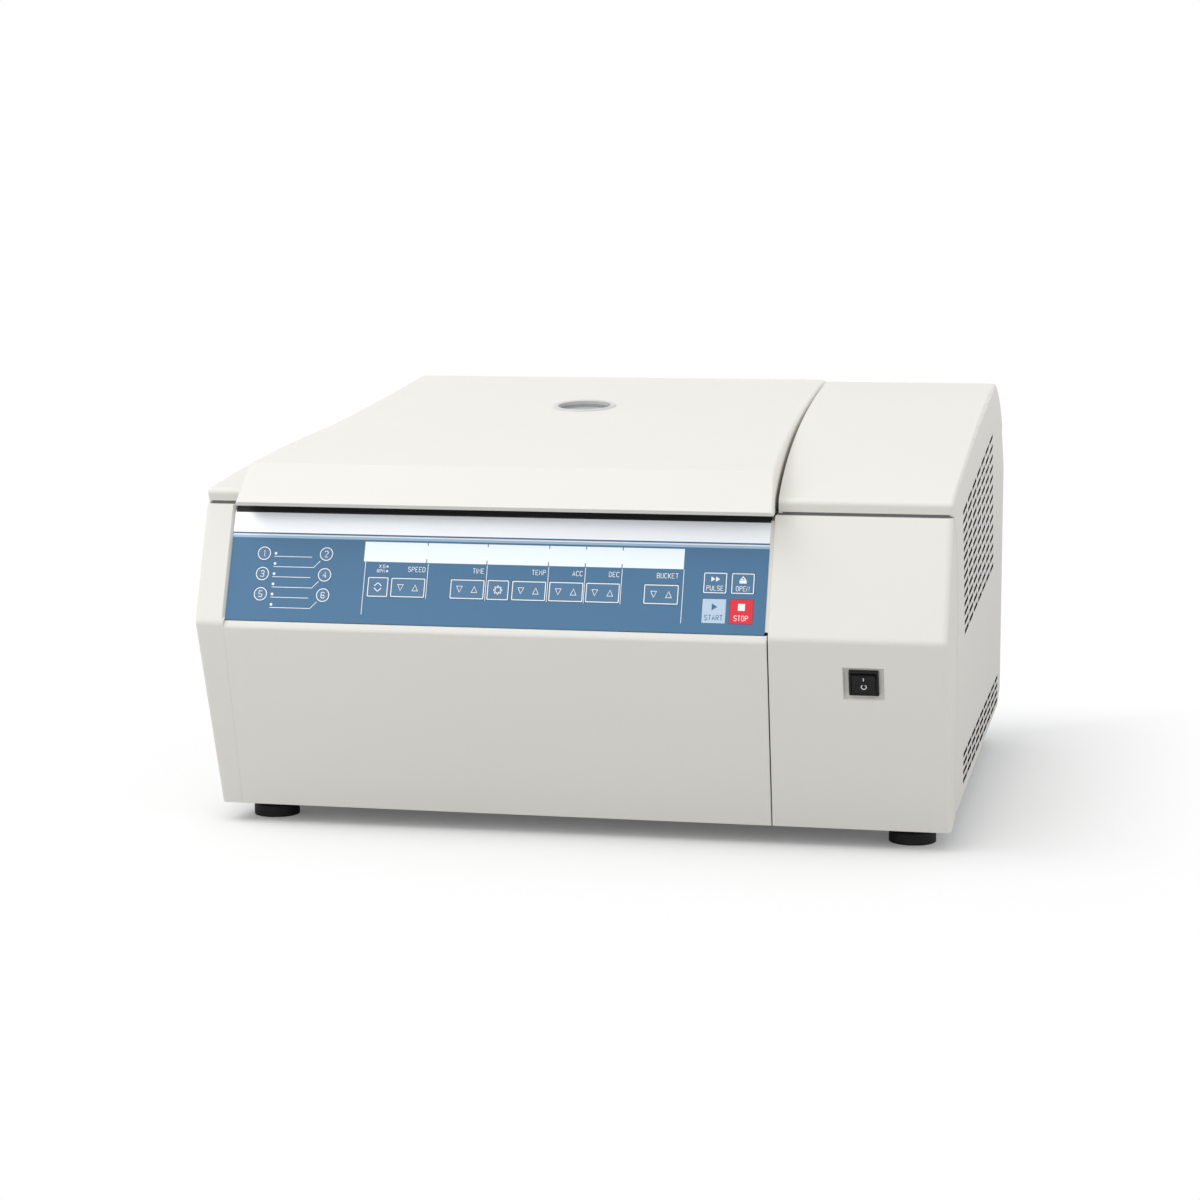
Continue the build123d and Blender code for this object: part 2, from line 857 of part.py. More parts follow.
with BuildPart() as lid_shell:
    area = lid_outline(Plane.YZ.offset(lid_x - side_x))
    extrude(area, amount=2 * side_x)
    area = lid_plan(Plane.XY, 0)
    extrude(area, amount=2 * height, mode=Mode.INTERSECT)
    upright = lid_shell.edges().filter_by(Axis.Z).group_by(Axis.Y)[-1]
    fillet(upright, radius=lid_corner_radius)
    upper = lid_shell.edges().filter_by_position(Axis.Z, lid_lip_z + lid_radius, height)
    fillet(upper, radius=lid_radius)
    add(lid_room.part, mode=Mode.SUBTRACT)
    for arm_x in arm_places:
        block(
            arm_x - arm_thickness / 2 - 2,
            arm_x + arm_thickness / 2 + 2,
            lid_rear_y - 2 * wall,
            lid_rear_y + wall,
            lid_wall_z - wall,
            hinge_z + arm_radius + 3,
            mode=Mode.SUBTRACT,
        )
    with BuildSketch(sight_plane.offset(-30)):
        Circle(sight_radius + sleeve_wall + face_gap)
    extrude(amount=60, mode=Mode.SUBTRACT)

with BuildPart() as lid_frame:
    area = lid_plan(Plane.XY.offset(liner_z), wall + seam)
    extrude(area, amount=liner_thickness)
    block(
        lid_x - side_x,
        lid_x + side_x,
        front_y,
        front_y + liner_setback,
        liner_z,
        liner_z + liner_thickness,
        mode=Mode.SUBTRACT,
    )
    # stiffening ring and the two hinge arms, welded to the plate
    tube_ring(
        Plane((lid_x, chamber_y, liner_z + liner_thickness)),
        chamber_radius - 10,
        chamber_radius - 14,
        12,
    )
    for arm_x in arm_places:
        with BuildSketch(Plane.YZ.offset(arm_x - arm_thickness / 2)):
            with BuildLine():
                Polyline(
                    (lid_rear_y - 70, liner_z + liner_thickness),
                    (lid_rear_y - 70, liner_z + 8),
                    (lid_rear_y - 30, hinge_z + arm_radius),
                    (hinge_y, hinge_z + arm_radius),
                    (hinge_y, hinge_z - arm_radius),
                    (lid_rear_y - 20, liner_z),
                    (lid_rear_y - 20, liner_z + liner_thickness),
                    close=True,
                )
            make_face()
            with Locations((hinge_y, hinge_z)):
                Circle(arm_radius)
                Circle(pin_radius + running, mode=Mode.SUBTRACT)
        extrude(amount=arm_thickness)
    with BuildSketch(sight_plane.offset(-120)):
        Circle(sight_radius + sleeve_wall + face_gap)
    extrude(amount=150, mode=Mode.SUBTRACT)

# ring and sleeve of the sight glass, square to the sloping lid, cut off level with the liner
sleeve_profile = (
    (sight_radius, 1.0),
    (sight_ring_radius - 1.5, 1.6),
    (sight_ring_radius, 0.2),
    (sight_ring_radius, 0.0),
    (sight_radius + sleeve_wall, 0.0),
    (sight_radius + sleeve_wall, -75.0),
    (sight_radius - sleeve_wall, -75.0),
    (sight_radius - sleeve_wall, -7.0),
    (sight_radius, -7.0),
)
sleeve_section = Plane(
    origin=sight_plane.origin,
    x_dir=(1, 0, 0),
    z_dir=-sight_plane.y_dir,
)
with BuildPart() as sight_ring:
    area = outline(sleeve_section, sleeve_profile)
    revolve(area, axis=Axis(sight_plane.origin, sight_plane.z_dir), revolution_arc=360)
    split(bisect_by=Plane.XY.offset(liner_z), keep=Keep.TOP)

with BuildPart() as sight_glass:
    with BuildSketch(sight_plane.offset(-7.0)):
        Circle(sight_radius - running)
    extrude(amount=5.0)

bolt_spacing = 240.0
bolt_y = front_y + 76.0
bolt_width = 14.0
bolt_thickness = 5.0
bolt_drop = 50.0
bolt_places = (lid_x - bolt_spacing / 2, lid_x + bolt_spacing / 2)
latch_shaft_z = deck_z - 30.0
hook_thickness = 6.0
hook_lift = 18.0
bolt_window_low = latch_shaft_z - hook_thickness / 2 - face_gap
bolt_window_high = latch_shaft_z + hook_thickness / 2 + hook_lift

with BuildPart() as latch_bolts:
    for bolt_x in bolt_places:
        block(
            bolt_x - bolt_width / 2,
            bolt_x + bolt_width / 2,
            bolt_y - bolt_thickness / 2,
            bolt_y + bolt_thickness / 2,
            liner_z - bolt_drop,
            liner_z,
        )
        block(
            bolt_x - bolt_width / 2 + 3.5,
            bolt_x + bolt_width / 2 - 3.5,
            bolt_y - bolt_thickness,
            bolt_y + bolt_thickness,
            bolt_window_low,
            bolt_window_high,
            mode=Mode.SUBTRACT,
        )

save(lid_shell.part, "lid_shell")
save(lid_frame.part, "lid_frame")
save(sight_ring.part, "sight_ring")
save(sight_glass.part, "sight_glass")
save(latch_bolts.part, "latch_bolts")

# ================================================================ latch
latch_shaft_radius = 5.0
latch_shaft_y = bolt_y + 26.0
latch_shaft_reach = 30.0
hook_width = 5.0
hook_reach = 29.0
hook_rest_lift = 50.0
crank_width = 8.0
crank_reach = 24.0
crank_end_radius = 6.0
cheek = 3.0
cheek_half = 14.0
cheek_drop = 12.0
cheek_front = 12.0
cheek_back = 16.0

with BuildPart() as latch_bar:
    with BuildSketch(Plane.YZ.offset(bolt_places[0] - latch_shaft_reach)):
        with Locations((latch_shaft_y, latch_shaft_z)):
            Circle(latch_shaft_radius)
    extrude(amount=bolt_spacing + 2 * latch_shaft_reach)
    for bolt_x in bolt_places:
        with BuildSketch(Plane.YZ.offset(bolt_x - hook_width / 2)):
            with Locations(Location((latch_shaft_y, latch_shaft_z), 180 - hook_rest_lift)):
                Circle(latch_shaft_radius + 4)
                with Locations((hook_reach / 2, 0)):
                    Rectangle(hook_reach, hook_thickness)
        extrude(amount=hook_width)
    # crank that the latch motor turns; its weight holds the hooks up when released
    with BuildSketch(Plane.YZ.offset(bolt_places[0] - latch_shaft_reach)):
        with Locations((latch_shaft_y, latch_shaft_z)):
            Circle(latch_shaft_radius + 3)
        with Locations((latch_shaft_y + crank_reach, latch_shaft_z)):
            Circle(crank_end_radius)
        make_hull()
    extrude(amount=crank_width)

with BuildPart() as latch_housings:
    for bolt_x in bolt_places:
        for cheek_x in (bolt_x - cheek_half - cheek, bolt_x + cheek_half):
            block(
                cheek_x,
                cheek_x + cheek,
                latch_shaft_y - cheek_front,
                latch_shaft_y + cheek_back,
                latch_shaft_z - cheek_drop,
                deck_z - deck_thickness,
            )
        block(
            bolt_x - cheek_half,
            bolt_x + cheek_half,
            latch_shaft_y + cheek_back - cheek,
            latch_shaft_y + cheek_back,
            latch_shaft_z - cheek_drop,
            deck_z - deck_thickness,
        )
    with BuildSketch(Plane.YZ.offset(-side_x)):
        with Locations((latch_shaft_y, latch_shaft_z)):
            Circle(latch_shaft_radius + running)
    extrude(amount=width, mode=Mode.SUBTRACT)

save(latch_bar.part, "latch_bar")
save(latch_housings.part, "latch_housings")

# ================================================================ deck
rear_panel_y = rear_y - 5.0
deck_left = lid_x - lid_half_front - lid_gap
deck_right = lid_x + lid_half_front + lid_gap
with BuildPart() as deck:
    block(
        deck_left,
        deck_right,
        front_y + lid_step_setback,
        rear_panel_y - seam,
        deck_z - deck_thickness,
        deck_z,
    )
    block(
        bay_seam_x,
        deck_right + seam,
        front_y,
        seam_curve[1][0],
        deck_z - deck_thickness,
        deck_z,
        mode=Mode.SUBTRACT,
    )
    with BuildSketch(Plane.XY.offset(deck_z - deck_thickness)):
        with Locations((lid_x, chamber_y)):
            Circle(chamber_radius + bowl_sheet + face_gap)
        for bolt_x in bolt_places:
            with Locations((bolt_x, bolt_y - 1)):
                Rectangle(bolt_width + 6, bolt_thickness + 9)
    extrude(amount=deck_thickness, mode=Mode.SUBTRACT)

# ================================================================ chamber
bowl_outer = chamber_radius + bowl_sheet
rim_radius = chamber_radius + seal_width + 5
throat_radius = 34.0
corner_x = chamber_radius - bowl_corner
corner_z = chamber_floor_z + bowl_corner
diagonal = cos(pi / 4)
with BuildPart() as chamber_bowl:
    with BuildSketch(Plane.XZ):
        with BuildLine():
            Line((throat_radius, chamber_floor_z), (corner_x, chamber_floor_z))
            ThreePointArc(
                (corner_x, chamber_floor_z),
                (corner_x + bowl_corner * diagonal, corner_z - bowl_corner * diagonal),
                (chamber_radius, corner_z),
            )
            Polyline(
                (chamber_radius, corner_z),
                (chamber_radius, deck_z + bowl_sheet),
                (rim_radius, deck_z + bowl_sheet),
                (rim_radius, deck_z),
                (bowl_outer, deck_z),
                (bowl_outer, corner_z),
            )
            ThreePointArc(
                (bowl_outer, corner_z),
                (
                    corner_x + (bowl_corner + bowl_sheet) * diagonal,
                    corner_z - (bowl_corner + bowl_sheet) * diagonal,
                ),
                (corner_x, chamber_floor_z - bowl_sheet),
            )
            Polyline(
                (corner_x, chamber_floor_z - bowl_sheet),
                (throat_radius, chamber_floor_z - bowl_sheet),
                (throat_radius, chamber_floor_z),
            )
        make_face()
    revolve(axis=Axis.Z, revolution_arc=360)

# turns of flattened copper tube, bonded flat to the outside of the bowl
coil_low_z = chamber_floor_z + bowl_corner + 14
with BuildPart() as evaporator_coil:
    for turn in range(coil_turns):
        with BuildSketch(Plane.XZ):
            with Locations((bowl_outer + coil_depth / 2, coil_low_z + turn * coil_pitch)):
                Rectangle(coil_depth, coil_height)
        revolve(axis=Axis.Z, revolution_arc=360)

foam_inner = bowl_outer + coil_depth + face_gap
foam_low_z = chamber_floor_z - bowl_sheet - foam_floor
bowl_under_z = chamber_floor_z - bowl_sheet
with BuildPart() as chamber_insulation:
    with BuildSketch(Plane.XZ):
        with BuildLine():
            Polyline(
                (corner_x, bowl_under_z),
                (throat_radius + seam, bowl_under_z),
                (throat_radius + seam, foam_low_z),
                (foam_radius, foam_low_z),
                (foam_radius, deck_z - deck_thickness),
                (foam_inner, deck_z - deck_thickness),
                (foam_inner, corner_z),
            )
            ThreePointArc(
                (foam_inner, corner_z),
                (
                    corner_x + (foam_inner - corner_x) * diagonal,
                    corner_z - (corner_z - bowl_under_z) * diagonal,
                ),
                (corner_x, bowl_under_z),
            )
        make_face()
    revolve(axis=Axis.Z, revolution_arc=360)

with BuildPart() as chamber_seal:
    area = outline(
        Plane.XZ,
        (
            (chamber_radius + 2, deck_z + bowl_sheet),
            (chamber_radius + 2, liner_z - face_gap - 2),
            (chamber_radius + 4, liner_z - face_gap),
            (chamber_radius + 6, liner_z - face_gap - 2),
            (chamber_radius + 2 + seal_width, deck_z + bowl_sheet + 2),
            (chamber_radius + 2 + seal_width, deck_z + bowl_sheet),
        ),
    )
    revolve(area, axis=Axis.Z, revolution_arc=360)


def in_place(part, x, y):
    """A turned piece moved from the origin to its own centre line."""
    return Pos(x, y, 0) * part


save(deck.part, "deck")
save(in_place(chamber_bowl.part, lid_x, chamber_y), "chamber_bowl")
save(in_place(evaporator_coil.part, lid_x, chamber_y), "evaporator_coil")
save(in_place(chamber_insulation.part, lid_x, chamber_y), "chamber_insulation")
save(in_place(chamber_seal.part, lid_x, chamber_y), "chamber_seal")

# ================================================================ base and feet
foot_radius = 19.5
foot_x = side_x - 35.3
foot_front_y = front_y + 100.6
foot_rear_y = rear_y - 70.0
foot_places = (
    (-foot_x, foot_front_y),
    (foot_x, foot_front_y),
    (-foot_x, foot_rear_y),
    (foot_x, foot_rear_y),
)
stud_radius = 4.0
with BuildPart() as base_pan:
    block(-base_side, base_side, base_front_y, rear_panel_y, foot_height, foot_height + base_height)
    block(
        -base_side + sheet,
        base_side - sheet,
        base_front_y + sheet,
        rear_panel_y - sheet,
        foot_height + sheet,
        foot_height + base_height,
        mode=Mode.SUBTRACT,
    )
    with BuildSketch(Plane.XY.offset(foot_height)):
        with Locations(*foot_places):
            Circle(stud_radius + running)
    extrude(amount=sheet, mode=Mode.SUBTRACT)

foot_ring = 10.0
with BuildPart() as feet:
    with BuildSketch(Plane.XY):
        with Locations(*foot_places):
            Circle(foot_radius)
    extrude(amount=foot_ring)
    with BuildSketch(Plane.XY.offset(foot_ring)):
        with Locations(*foot_places):
            Circle(foot_radius - 2)
    extrude(amount=foot_height - foot_ring)
    with BuildSketch(Plane.XY.offset(foot_height)):
        with Locations(*foot_places):
            Circle(stud_radius)
    extrude(amount=sheet + 5)

save(base_pan.part, "base_pan")
save(feet.part, "feet")

# ================================================================ drive
base_floor_z = foot_height + sheet
motor_low_z = base_floor_z + mount_height
motor_top_z = motor_low_z + motor_height
isolator_circle = motor_radius + 16
with BuildPart() as vibration_mounts:
    with BuildSketch(Plane.XY.offset(base_floor_z)):
        with PolarLocations(isolator_circle, 3, start_angle=90):
            Circle(11)
    extrude(amount=mount_height)

with BuildPart() as drive_motor:
    with BuildSketch(Plane.XY.offset(motor_low_z)):
        Circle(motor_radius)
        with PolarLocations(isolator_circle, 3, start_angle=90):
            Circle(13)
        with PolarLocations(isolator_circle - 14, 3, start_angle=90):
            Rectangle(28, 26)
    extrude(amount=6)
    with BuildSketch(Plane.XY.offset(motor_low_z + 6)):
        Circle(motor_radius)
    extrude(amount=motor_height - 12)
    fins = 12
    with BuildSketch(Plane.XY.offset(motor_low_z + 10)):
        with PolarLocations(motor_radius + 1, fins):
            Rectangle(4, 3)
    extrude(amount=motor_height - 24)
    with BuildSketch(Plane.XY.offset(motor_top_z - 6)):
        Circle(motor_radius - 14)
    extrude(amount=6)
    with BuildSketch(Plane.XY.offset(motor_low_z + 8)):
        Circle(shaft_radius + running)
    extrude(amount=motor_height, mode=Mode.SUBTRACT)

cone_low_z = rotor_pin_z - 26.0
cone_top_radius = 7.0
stub_top_z = rotor_pin_z + 8.0
thread_radius = 4.0
with BuildPart() as drive_shaft:
    area = outline(
        Plane.XZ,
        (
            (0, motor_low_z + 8 + face_gap),
            (shaft_radius, motor_low_z + 8 + face_gap),
            (shaft_radius, cone_low_z),
            (cone_top_radius, rotor_pin_z - 4),
            (thread_radius, rotor_pin_z - 4),
            (thread_radius, stub_top_z),
            (0, stub_top_z),
        ),
    )
    revolve(area, axis=Axis.Z, revolution_arc=360)

save(in_place(vibration_mounts.part, lid_x, chamber_y), "vibration_mounts")
save(in_place(drive_motor.part, lid_x, chamber_y), "drive_motor")
save(in_place(drive_shaft.part, lid_x, chamber_y), "drive_shaft")

# ================================================================ rotor
pocket_half_length = plate_length / 2 + plate_clearance
pocket_half_width = plate_width / 2 + plate_clearance
end_wall_out = pocket_half_length + carrier_wall
boss_out = end_wall_out + boss_depth
beam_inner = boss_out + beam_gap
beam_height = 20.0
beam_half = swing_radius + 11.0
hub_radius = 22.0
hub_half_height = 26.0
bridge_width = 34.0
bridge_height = 16.0
trunnion_reach = boss_depth - 0.4 + beam_gap
window_length = 28.0
window_x = hub_radius + 3 + window_length / 2

with BuildPart() as rotor_yoke:
    for beam_side in (-1, 1):
        beam_y = beam_side * (beam_inner + beam_width / 2)
        with BuildSketch(Plane.XY.offset(rotor_pin_z - beam_height / 2)):
            with Locations((0, beam_y)):
                Rectangle(2 * beam_half, beam_width)
        extrude(amount=beam_height)
    # bridge between the beams, waisted towards them
    with BuildSketch(Plane.XY.offset(rotor_pin_z - hub_half_height)):
        Circle(hub_radius)
    extrude(amount=hub_half_height + 4)
    with BuildSketch(Plane.XY.offset(rotor_pin_z - bridge_height / 2 - 6)):
        Rectangle(bridge_width, 2 * beam_inner + beam_width)
    extrude(amount=bridge_height)
    corners = rotor_yoke.edges().filter_by(Axis.Z).filter_by_position(
        Axis.X, beam_half - 1, beam_half + 1
    )
    corners += rotor_yoke.edges().filter_by(Axis.Z).filter_by_position(
        Axis.X, -beam_half - 1, -beam_half + 1
    )
    fillet(corners, radius=5.0)
    # trunnion pins for the two carriers
    for beam_side in (-1, 1):
        pin_plane = Plane(
            origin=(0, beam_side * beam_inner, rotor_pin_z),
            x_dir=(1, 0, 0),
            z_dir=(0, -beam_side, 0),
        )
        with BuildSketch(pin_plane):
            with Locations((swing_radius, 0), (-swing_radius, 0)):
                Circle(trunnion_radius)
        extrude(amount=trunnion_reach)
    # lightening windows through the beams
    with BuildSketch(Plane.XZ.offset(-2 * beam_inner)):
        with Locations((window_x, rotor_pin_z), (-window_x, rotor_pin_z)):
            SlotOverall(window_length, 9)
    extrude(amount=4 * beam_inner, mode=Mode.SUBTRACT)
    # taper seat of the hub on the shaft cone
    area = outline(
        Plane.XZ,
        (
            (0, rotor_pin_z - hub_half_height - 1),
            (shaft_radius + running, rotor_pin_z - hub_half_height - 1),
            (shaft_radius + running, cone_low_z),
            (cone_top_radius + running, rotor_pin_z - 4),
            (cone_top_radius + running, rotor_pin_z + hub_half_height),
            (0, rotor_pin_z + hub_half_height),
        ),
    )
    revolve(area, axis=Axis.Z, revolution_arc=360, mode=Mode.SUBTRACT)

knob_radius = 17.0
knob_low_z = rotor_pin_z + 4.0
knob_height = 18.0
with BuildPart() as rotor_knob:
    with BuildSketch(Plane.XY.offset(knob_low_z)):
        Circle(knob_radius)
        with PolarLocations(knob_radius + 3, 6):
            Circle(6, mode=Mode.SUBTRACT)
    extrude(amount=knob_height)
    with BuildSketch(Plane.XY.offset(knob_low_z)):
        Circle(thread_radius + running)
    extrude(amount=stub_top_z - knob_low_z + face_gap, mode=Mode.SUBTRACT)

carrier_floor = 3.0
carrier_low = rotor_pin_z - carrier_drop
rim_height = 9.0
ear_top = 9.0
ear_half = 15.0


def carrier(side):
    """A plate carrier: tray for one microplate with end walls that hang on the trunnion pins."""
    middle = side * swing_radius
    with BuildPart() as tray:
        block(
            middle - pocket_half_width - carrier_wall,
            middle + pocket_half_width + carrier_wall,
            -end_wall_out,
            end_wall_out,
            carrier_low,
            carrier_low + carrier_floor + rim_height,
        )
        for end in (-1, 1):
            wall_plane = Plane.XZ.offset(-end * pocket_half_length)
            area = outline(
                wall_plane,
                (
                    (middle - pocket_half_width - carrier_wall, carrier_low),
                    (middle + pocket_half_width + carrier_wall, carrier_low),
                    (middle + pocket_half_width + carrier_wall, carrier_low + 16),
                    (middle + ear_half, rotor_pin_z - 4),
                    (middle + ear_half, rotor_pin_z + ear_top),
                    (middle - ear_half, rotor_pin_z + ear_top),
                    (middle - ear_half, rotor_pin_z - 4),
                    (middle - pocket_half_width - carrier_wall, carrier_low + 16),
                ),
            )
            extrude(area, amount=-end * carrier_wall)
            boss_plane = Plane.XZ.offset(-end * end_wall_out)
            with BuildSketch(boss_plane):
                with Locations((middle, rotor_pin_z)):
                    Rectangle(2 * (trunnion_radius + 4), 2 * ear_top)
                with Locations((middle, rotor_pin_z)):
                    Circle(trunnion_radius + running, mode=Mode.SUBTRACT)
                with Locations((middle, rotor_pin_z - ear_top)):
                    Rectangle(2 * (trunnion_radius + running), 2 * ear_top, mode=Mode.SUBTRACT)
            extrude(amount=-end * boss_depth)
        block(
            middle - pocket_half_width,
            middle + pocket_half_width,
            -pocket_half_length,
            pocket_half_length,
            carrier_low + carrier_floor,
            rotor_pin_z + 2 * ear_top,
            mode=Mode.SUBTRACT,
        )
        # finger notches in the long rims and holes in the floor
        block(
            middle - side_x,
            middle + side_x,
            -16,
            16,
            carrier_low + carrier_floor,
            carrier_low + carrier_floor + rim_height + 1,
            mode=Mode.SUBTRACT,
        )
    return tray.part


save(in_place(rotor_yoke.part, lid_x, chamber_y), "rotor_yoke")
save(in_place(rotor_knob.part, lid_x, chamber_y), "rotor_knob")
save(in_place(carrier(1), lid_x, chamber_y), "plate_carrier_1")
save(in_place(carrier(-1), lid_x, chamber_y), "plate_carrier_2")

# ================================================================ hinge and rear
cheek_gap = 0.5
hinge_cheek = 4.0
hinge_cheek_radius = 8.0
with BuildPart() as hinge_brackets:
    for arm_x in arm_places:
        for cheek_side in (-1, 1):
            cheek_x = arm_x + cheek_side * (arm_thickness / 2 + cheek_gap)
            with BuildSketch(Plane.YZ.offset(cheek_x)):
                with Locations((hinge_y, (deck_z + hinge_z) / 2)):
                    Rectangle(30, hinge_z - deck_z)
                with Locations((hinge_y, hinge_z)):
                    Circle(hinge_cheek_radius)
            extrude(amount=cheek_side * hinge_cheek)
        pin_half = arm_thickness / 2 + cheek_gap + hinge_cheek
        with BuildSketch(Plane.YZ.offset(arm_x - pin_half)):
            with Locations((hinge_y, hinge_z)):
                Circle(pin_radius)
        extrude(amount=2 * pin_half)

rear_front_y = lid_rear_y + 4.5
rear_cover_z = height - 58.0
rear_left = lid_x - lid_half_rear - lid_gap + seam
rear_right = lid_x + lid_half_rear + lid_gap - seam


def rear_outline(plane, inset):
    """Side view of the cover behind the lid."""
    with BuildSketch(plane) as area:
        with BuildLine():
            Polyline(
                (rear_y - inset, deck_z - inset),
                (rear_front_y + inset, deck_z - inset),
                (rear_front_y + inset, rear_cover_z - inset),
                (rear_y - 55, rear_cover_z - inset),
            )
            ThreePointArc(
                (rear_y - 55, rear_cover_z - inset),
                (rear_y - 15 - inset * 0.7, rear_cover_z - 12 - inset * 0.7),
                (rear_y - inset, deck_z - inset),
            )
        make_face()
    return area.sketch


with BuildPart() as rear_cover:
    area = rear_outline(Plane.YZ.offset(rear_left), 0)
    extrude(area, amount=rear_right - rear_left)
    area = rear_outline(Plane.YZ.offset(rear_left + wall), wall)
    extrude(area, amount=rear_right - rear_left - 2 * wall, mode=Mode.SUBTRACT)
    for arm_x in arm_places:
        block(
            arm_x - arm_thickness / 2 - 2,
            arm_x + arm_thickness / 2 + 2,
            rear_front_y - 1,
            hinge_y + arm_radius + 3,
            deck_z - 1,
            rear_cover_z + 1,
            mode=Mode.SUBTRACT,
        )

inlet_x = side_x - 60.0
inlet_z = 96.0
inlet_width = 30.0
inlet_height = 22.0
inlet_flange_width = 50.0
inlet_flange_height = 30.0
inlet_flange = 2.5
inlet_body_depth = 24.0
inlet_cavity_depth = 18.0
inlet_wall = 2.8
pin_spread = 7.0
pin_lift = 2.0
plate_width = 90.0
plate_height = 60.0
plate_lap = 5.0
plate_face_y = rear_panel_y - running
rear_vent_z = 130.0
with BuildPart() as rear_panel:
    block(
        -side_x + wall + seam,
        side_x - wall - seam,
        rear_panel_y,
        rear_panel_y + sheet,
        foot_height + 6,
        deck_z - seam,
    )
    with BuildSketch(Plane.XZ.offset(-rear_panel_y - 2 * sheet)):
        with Locations((inlet_x, inlet_z)):
            Rectangle(plate_width - 2 * plate_lap, plate_height - 2 * plate_lap)
        with Locations((lid_x, rear_vent_z)):
            with GridLocations(34, 10, 8, 4):
                Rectangle(26, 4)
    extrude(amount=3 * sheet, mode=Mode.SUBTRACT)
    # plate behind the cut-out that carries the mains inlet
    block(
        inlet_x - plate_width / 2,
        inlet_x + plate_width / 2,
        plate_face_y - sheet,
        plate_face_y,
        inlet_z - plate_height / 2,
        inlet_z + plate_height / 2,
    )
    block(
        inlet_x - inlet_width / 2 - face_gap / 2,
        inlet_x + inlet_width / 2 + face_gap / 2,
        plate_face_y - 2 * sheet,
        plate_face_y + sheet,
        inlet_z - inlet_height / 2 - face_gap / 2,
        inlet_z + inlet_height / 2 + face_gap / 2,
        mode=Mode.SUBTRACT,
    )

with BuildPart() as mains_inlet:
    with BuildSketch(Plane.XZ.offset(-plate_face_y)):
        with Locations((inlet_x, inlet_z)):
            Rectangle(inlet_flange_width, inlet_flange_height)
    extrude(amount=-inlet_flange)
    with BuildSketch(Plane.XZ.offset(-plate_face_y)):
        with Locations((inlet_x, inlet_z)):
            Rectangle(inlet_width, inlet_height)
    extrude(amount=inlet_body_depth)
    with BuildSketch(Plane.XZ.offset(-plate_face_y - inlet_flange)):
        with Locations((inlet_x, inlet_z)):
            Rectangle(inlet_width - 2 * inlet_wall, inlet_height - 2 * inlet_wall)
    extrude(amount=inlet_cavity_depth, mode=Mode.SUBTRACT)
    with BuildSketch(Plane.XZ.offset(-plate_face_y - 1)):
        with Locations(
            (inlet_x, inlet_z + pin_lift),
            (inlet_x - pin_spread, inlet_z - pin_lift),
            (inlet_x + pin_spread, inlet_z - pin_lift),
        ):
            Rectangle(2, 4)
    extrude(amount=inlet_cavity_depth)

save(hinge_brackets.part, "hinge_brackets")
save(rear_cover.part, "rear_cover")
save(rear_panel.part, "rear_panel")
save(mains_inlet.part, "mains_inlet")

# ================================================================ cooling bay
bay_left = lid_x + foam_radius + 12
compressor_radius = 56.0
compressor_x = (bay_left + side_x) / 2 + 2
compressor_y = rear_y - 110.0
compressor_height = 150.0
with BuildPart() as compressor:
    area = outline(
        Plane.XZ,
        (
            (0, base_floor_z),
            (compressor_radius - 6, base_floor_z),
            (compressor_radius, base_floor_z + 16),
            (compressor_radius, base_floor_z + compressor_height * 0.45),
            (compressor_radius + 3, base_floor_z + compressor_height * 0.45),
            (compressor_radius + 3, base_floor_z + compressor_height * 0.48),
            (compressor_radius, base_floor_z + compressor_height * 0.48),
            (compressor_radius, base_floor_z + compressor_height - 26),
            (compressor_radius - 26, base_floor_z + compressor_height),
            (0, base_floor_z + compressor_height),
        ),
    )
    revolve(area, axis=Axis.Z, revolution_arc=360)

condenser_x = side_x - 50.0
condenser_thickness = 32.0
condenser_y = front_y + 235.0
condenser_length = 170.0
condenser_height = 190.0
fin_count = 14
fin_proud = 3.0
tube_rows = 5
return_bend = 8.0
with BuildPart() as condenser:
    block(
        condenser_x,
        condenser_x + condenser_thickness - fin_proud,
        condenser_y - condenser_length / 2,
        condenser_y + condenser_length / 2,
        base_floor_z,
        base_floor_z + condenser_height,
    )
    fin_pitch = (condenser_length - 2) / (fin_count - 1)
    with BuildSketch(Plane.XY.offset(base_floor_z)):
        with Locations((condenser_x + condenser_thickness - fin_proud / 2, condenser_y)):
            with GridLocations(0, fin_pitch, 1, fin_count):
                Rectangle(fin_proud, 1)
    extrude(amount=condenser_height)
    # return bends of the tube at the rear end
    with BuildSketch(Plane.XZ.offset(-condenser_y - condenser_length / 2)):
        with Locations((condenser_x + condenser_thickness / 2, base_floor_z + condenser_height / 2)):
            with GridLocations(0, (condenser_height - 40) / (tube_rows - 1), 1, tube_rows):
                SlotOverall(22, return_bend, rotation=90)
    extrude(amount=-return_bend)

fan_radius = 74.0
fan_z = base_floor_z + condenser_height / 2
fan_depth = 26.0
shroud_left = condenser_x - fan_depth
with BuildPart() as fan_shroud:
    block(
        shroud_left,
        condenser_x,
        condenser_y - condenser_length / 2,
        condenser_y + condenser_length / 2,
        base_floor_z,
        base_floor_z + condenser_height,
    )
    with BuildSketch(Plane.YZ.offset(shroud_left)):
        with Locations((condenser_y, fan_z)):
            Circle(fan_radius + 3)
    extrude(amount=fan_depth, mode=Mode.SUBTRACT)
    # motor on three struts
    with BuildSketch(Plane.YZ.offset(shroud_left)):
        with Locations((condenser_y, fan_z)):
            Circle(20)
            with PolarLocations((fan_radius + 3 + 18) / 2 + 1, 3):
                Rectangle(fan_radius - 12, 5)
    extrude(amount=5)
    with BuildSketch(Plane.YZ.offset(shroud_left + 5)):
        with Locations((condenser_y, fan_z)):
            Circle(4)
    extrude(amount=14)

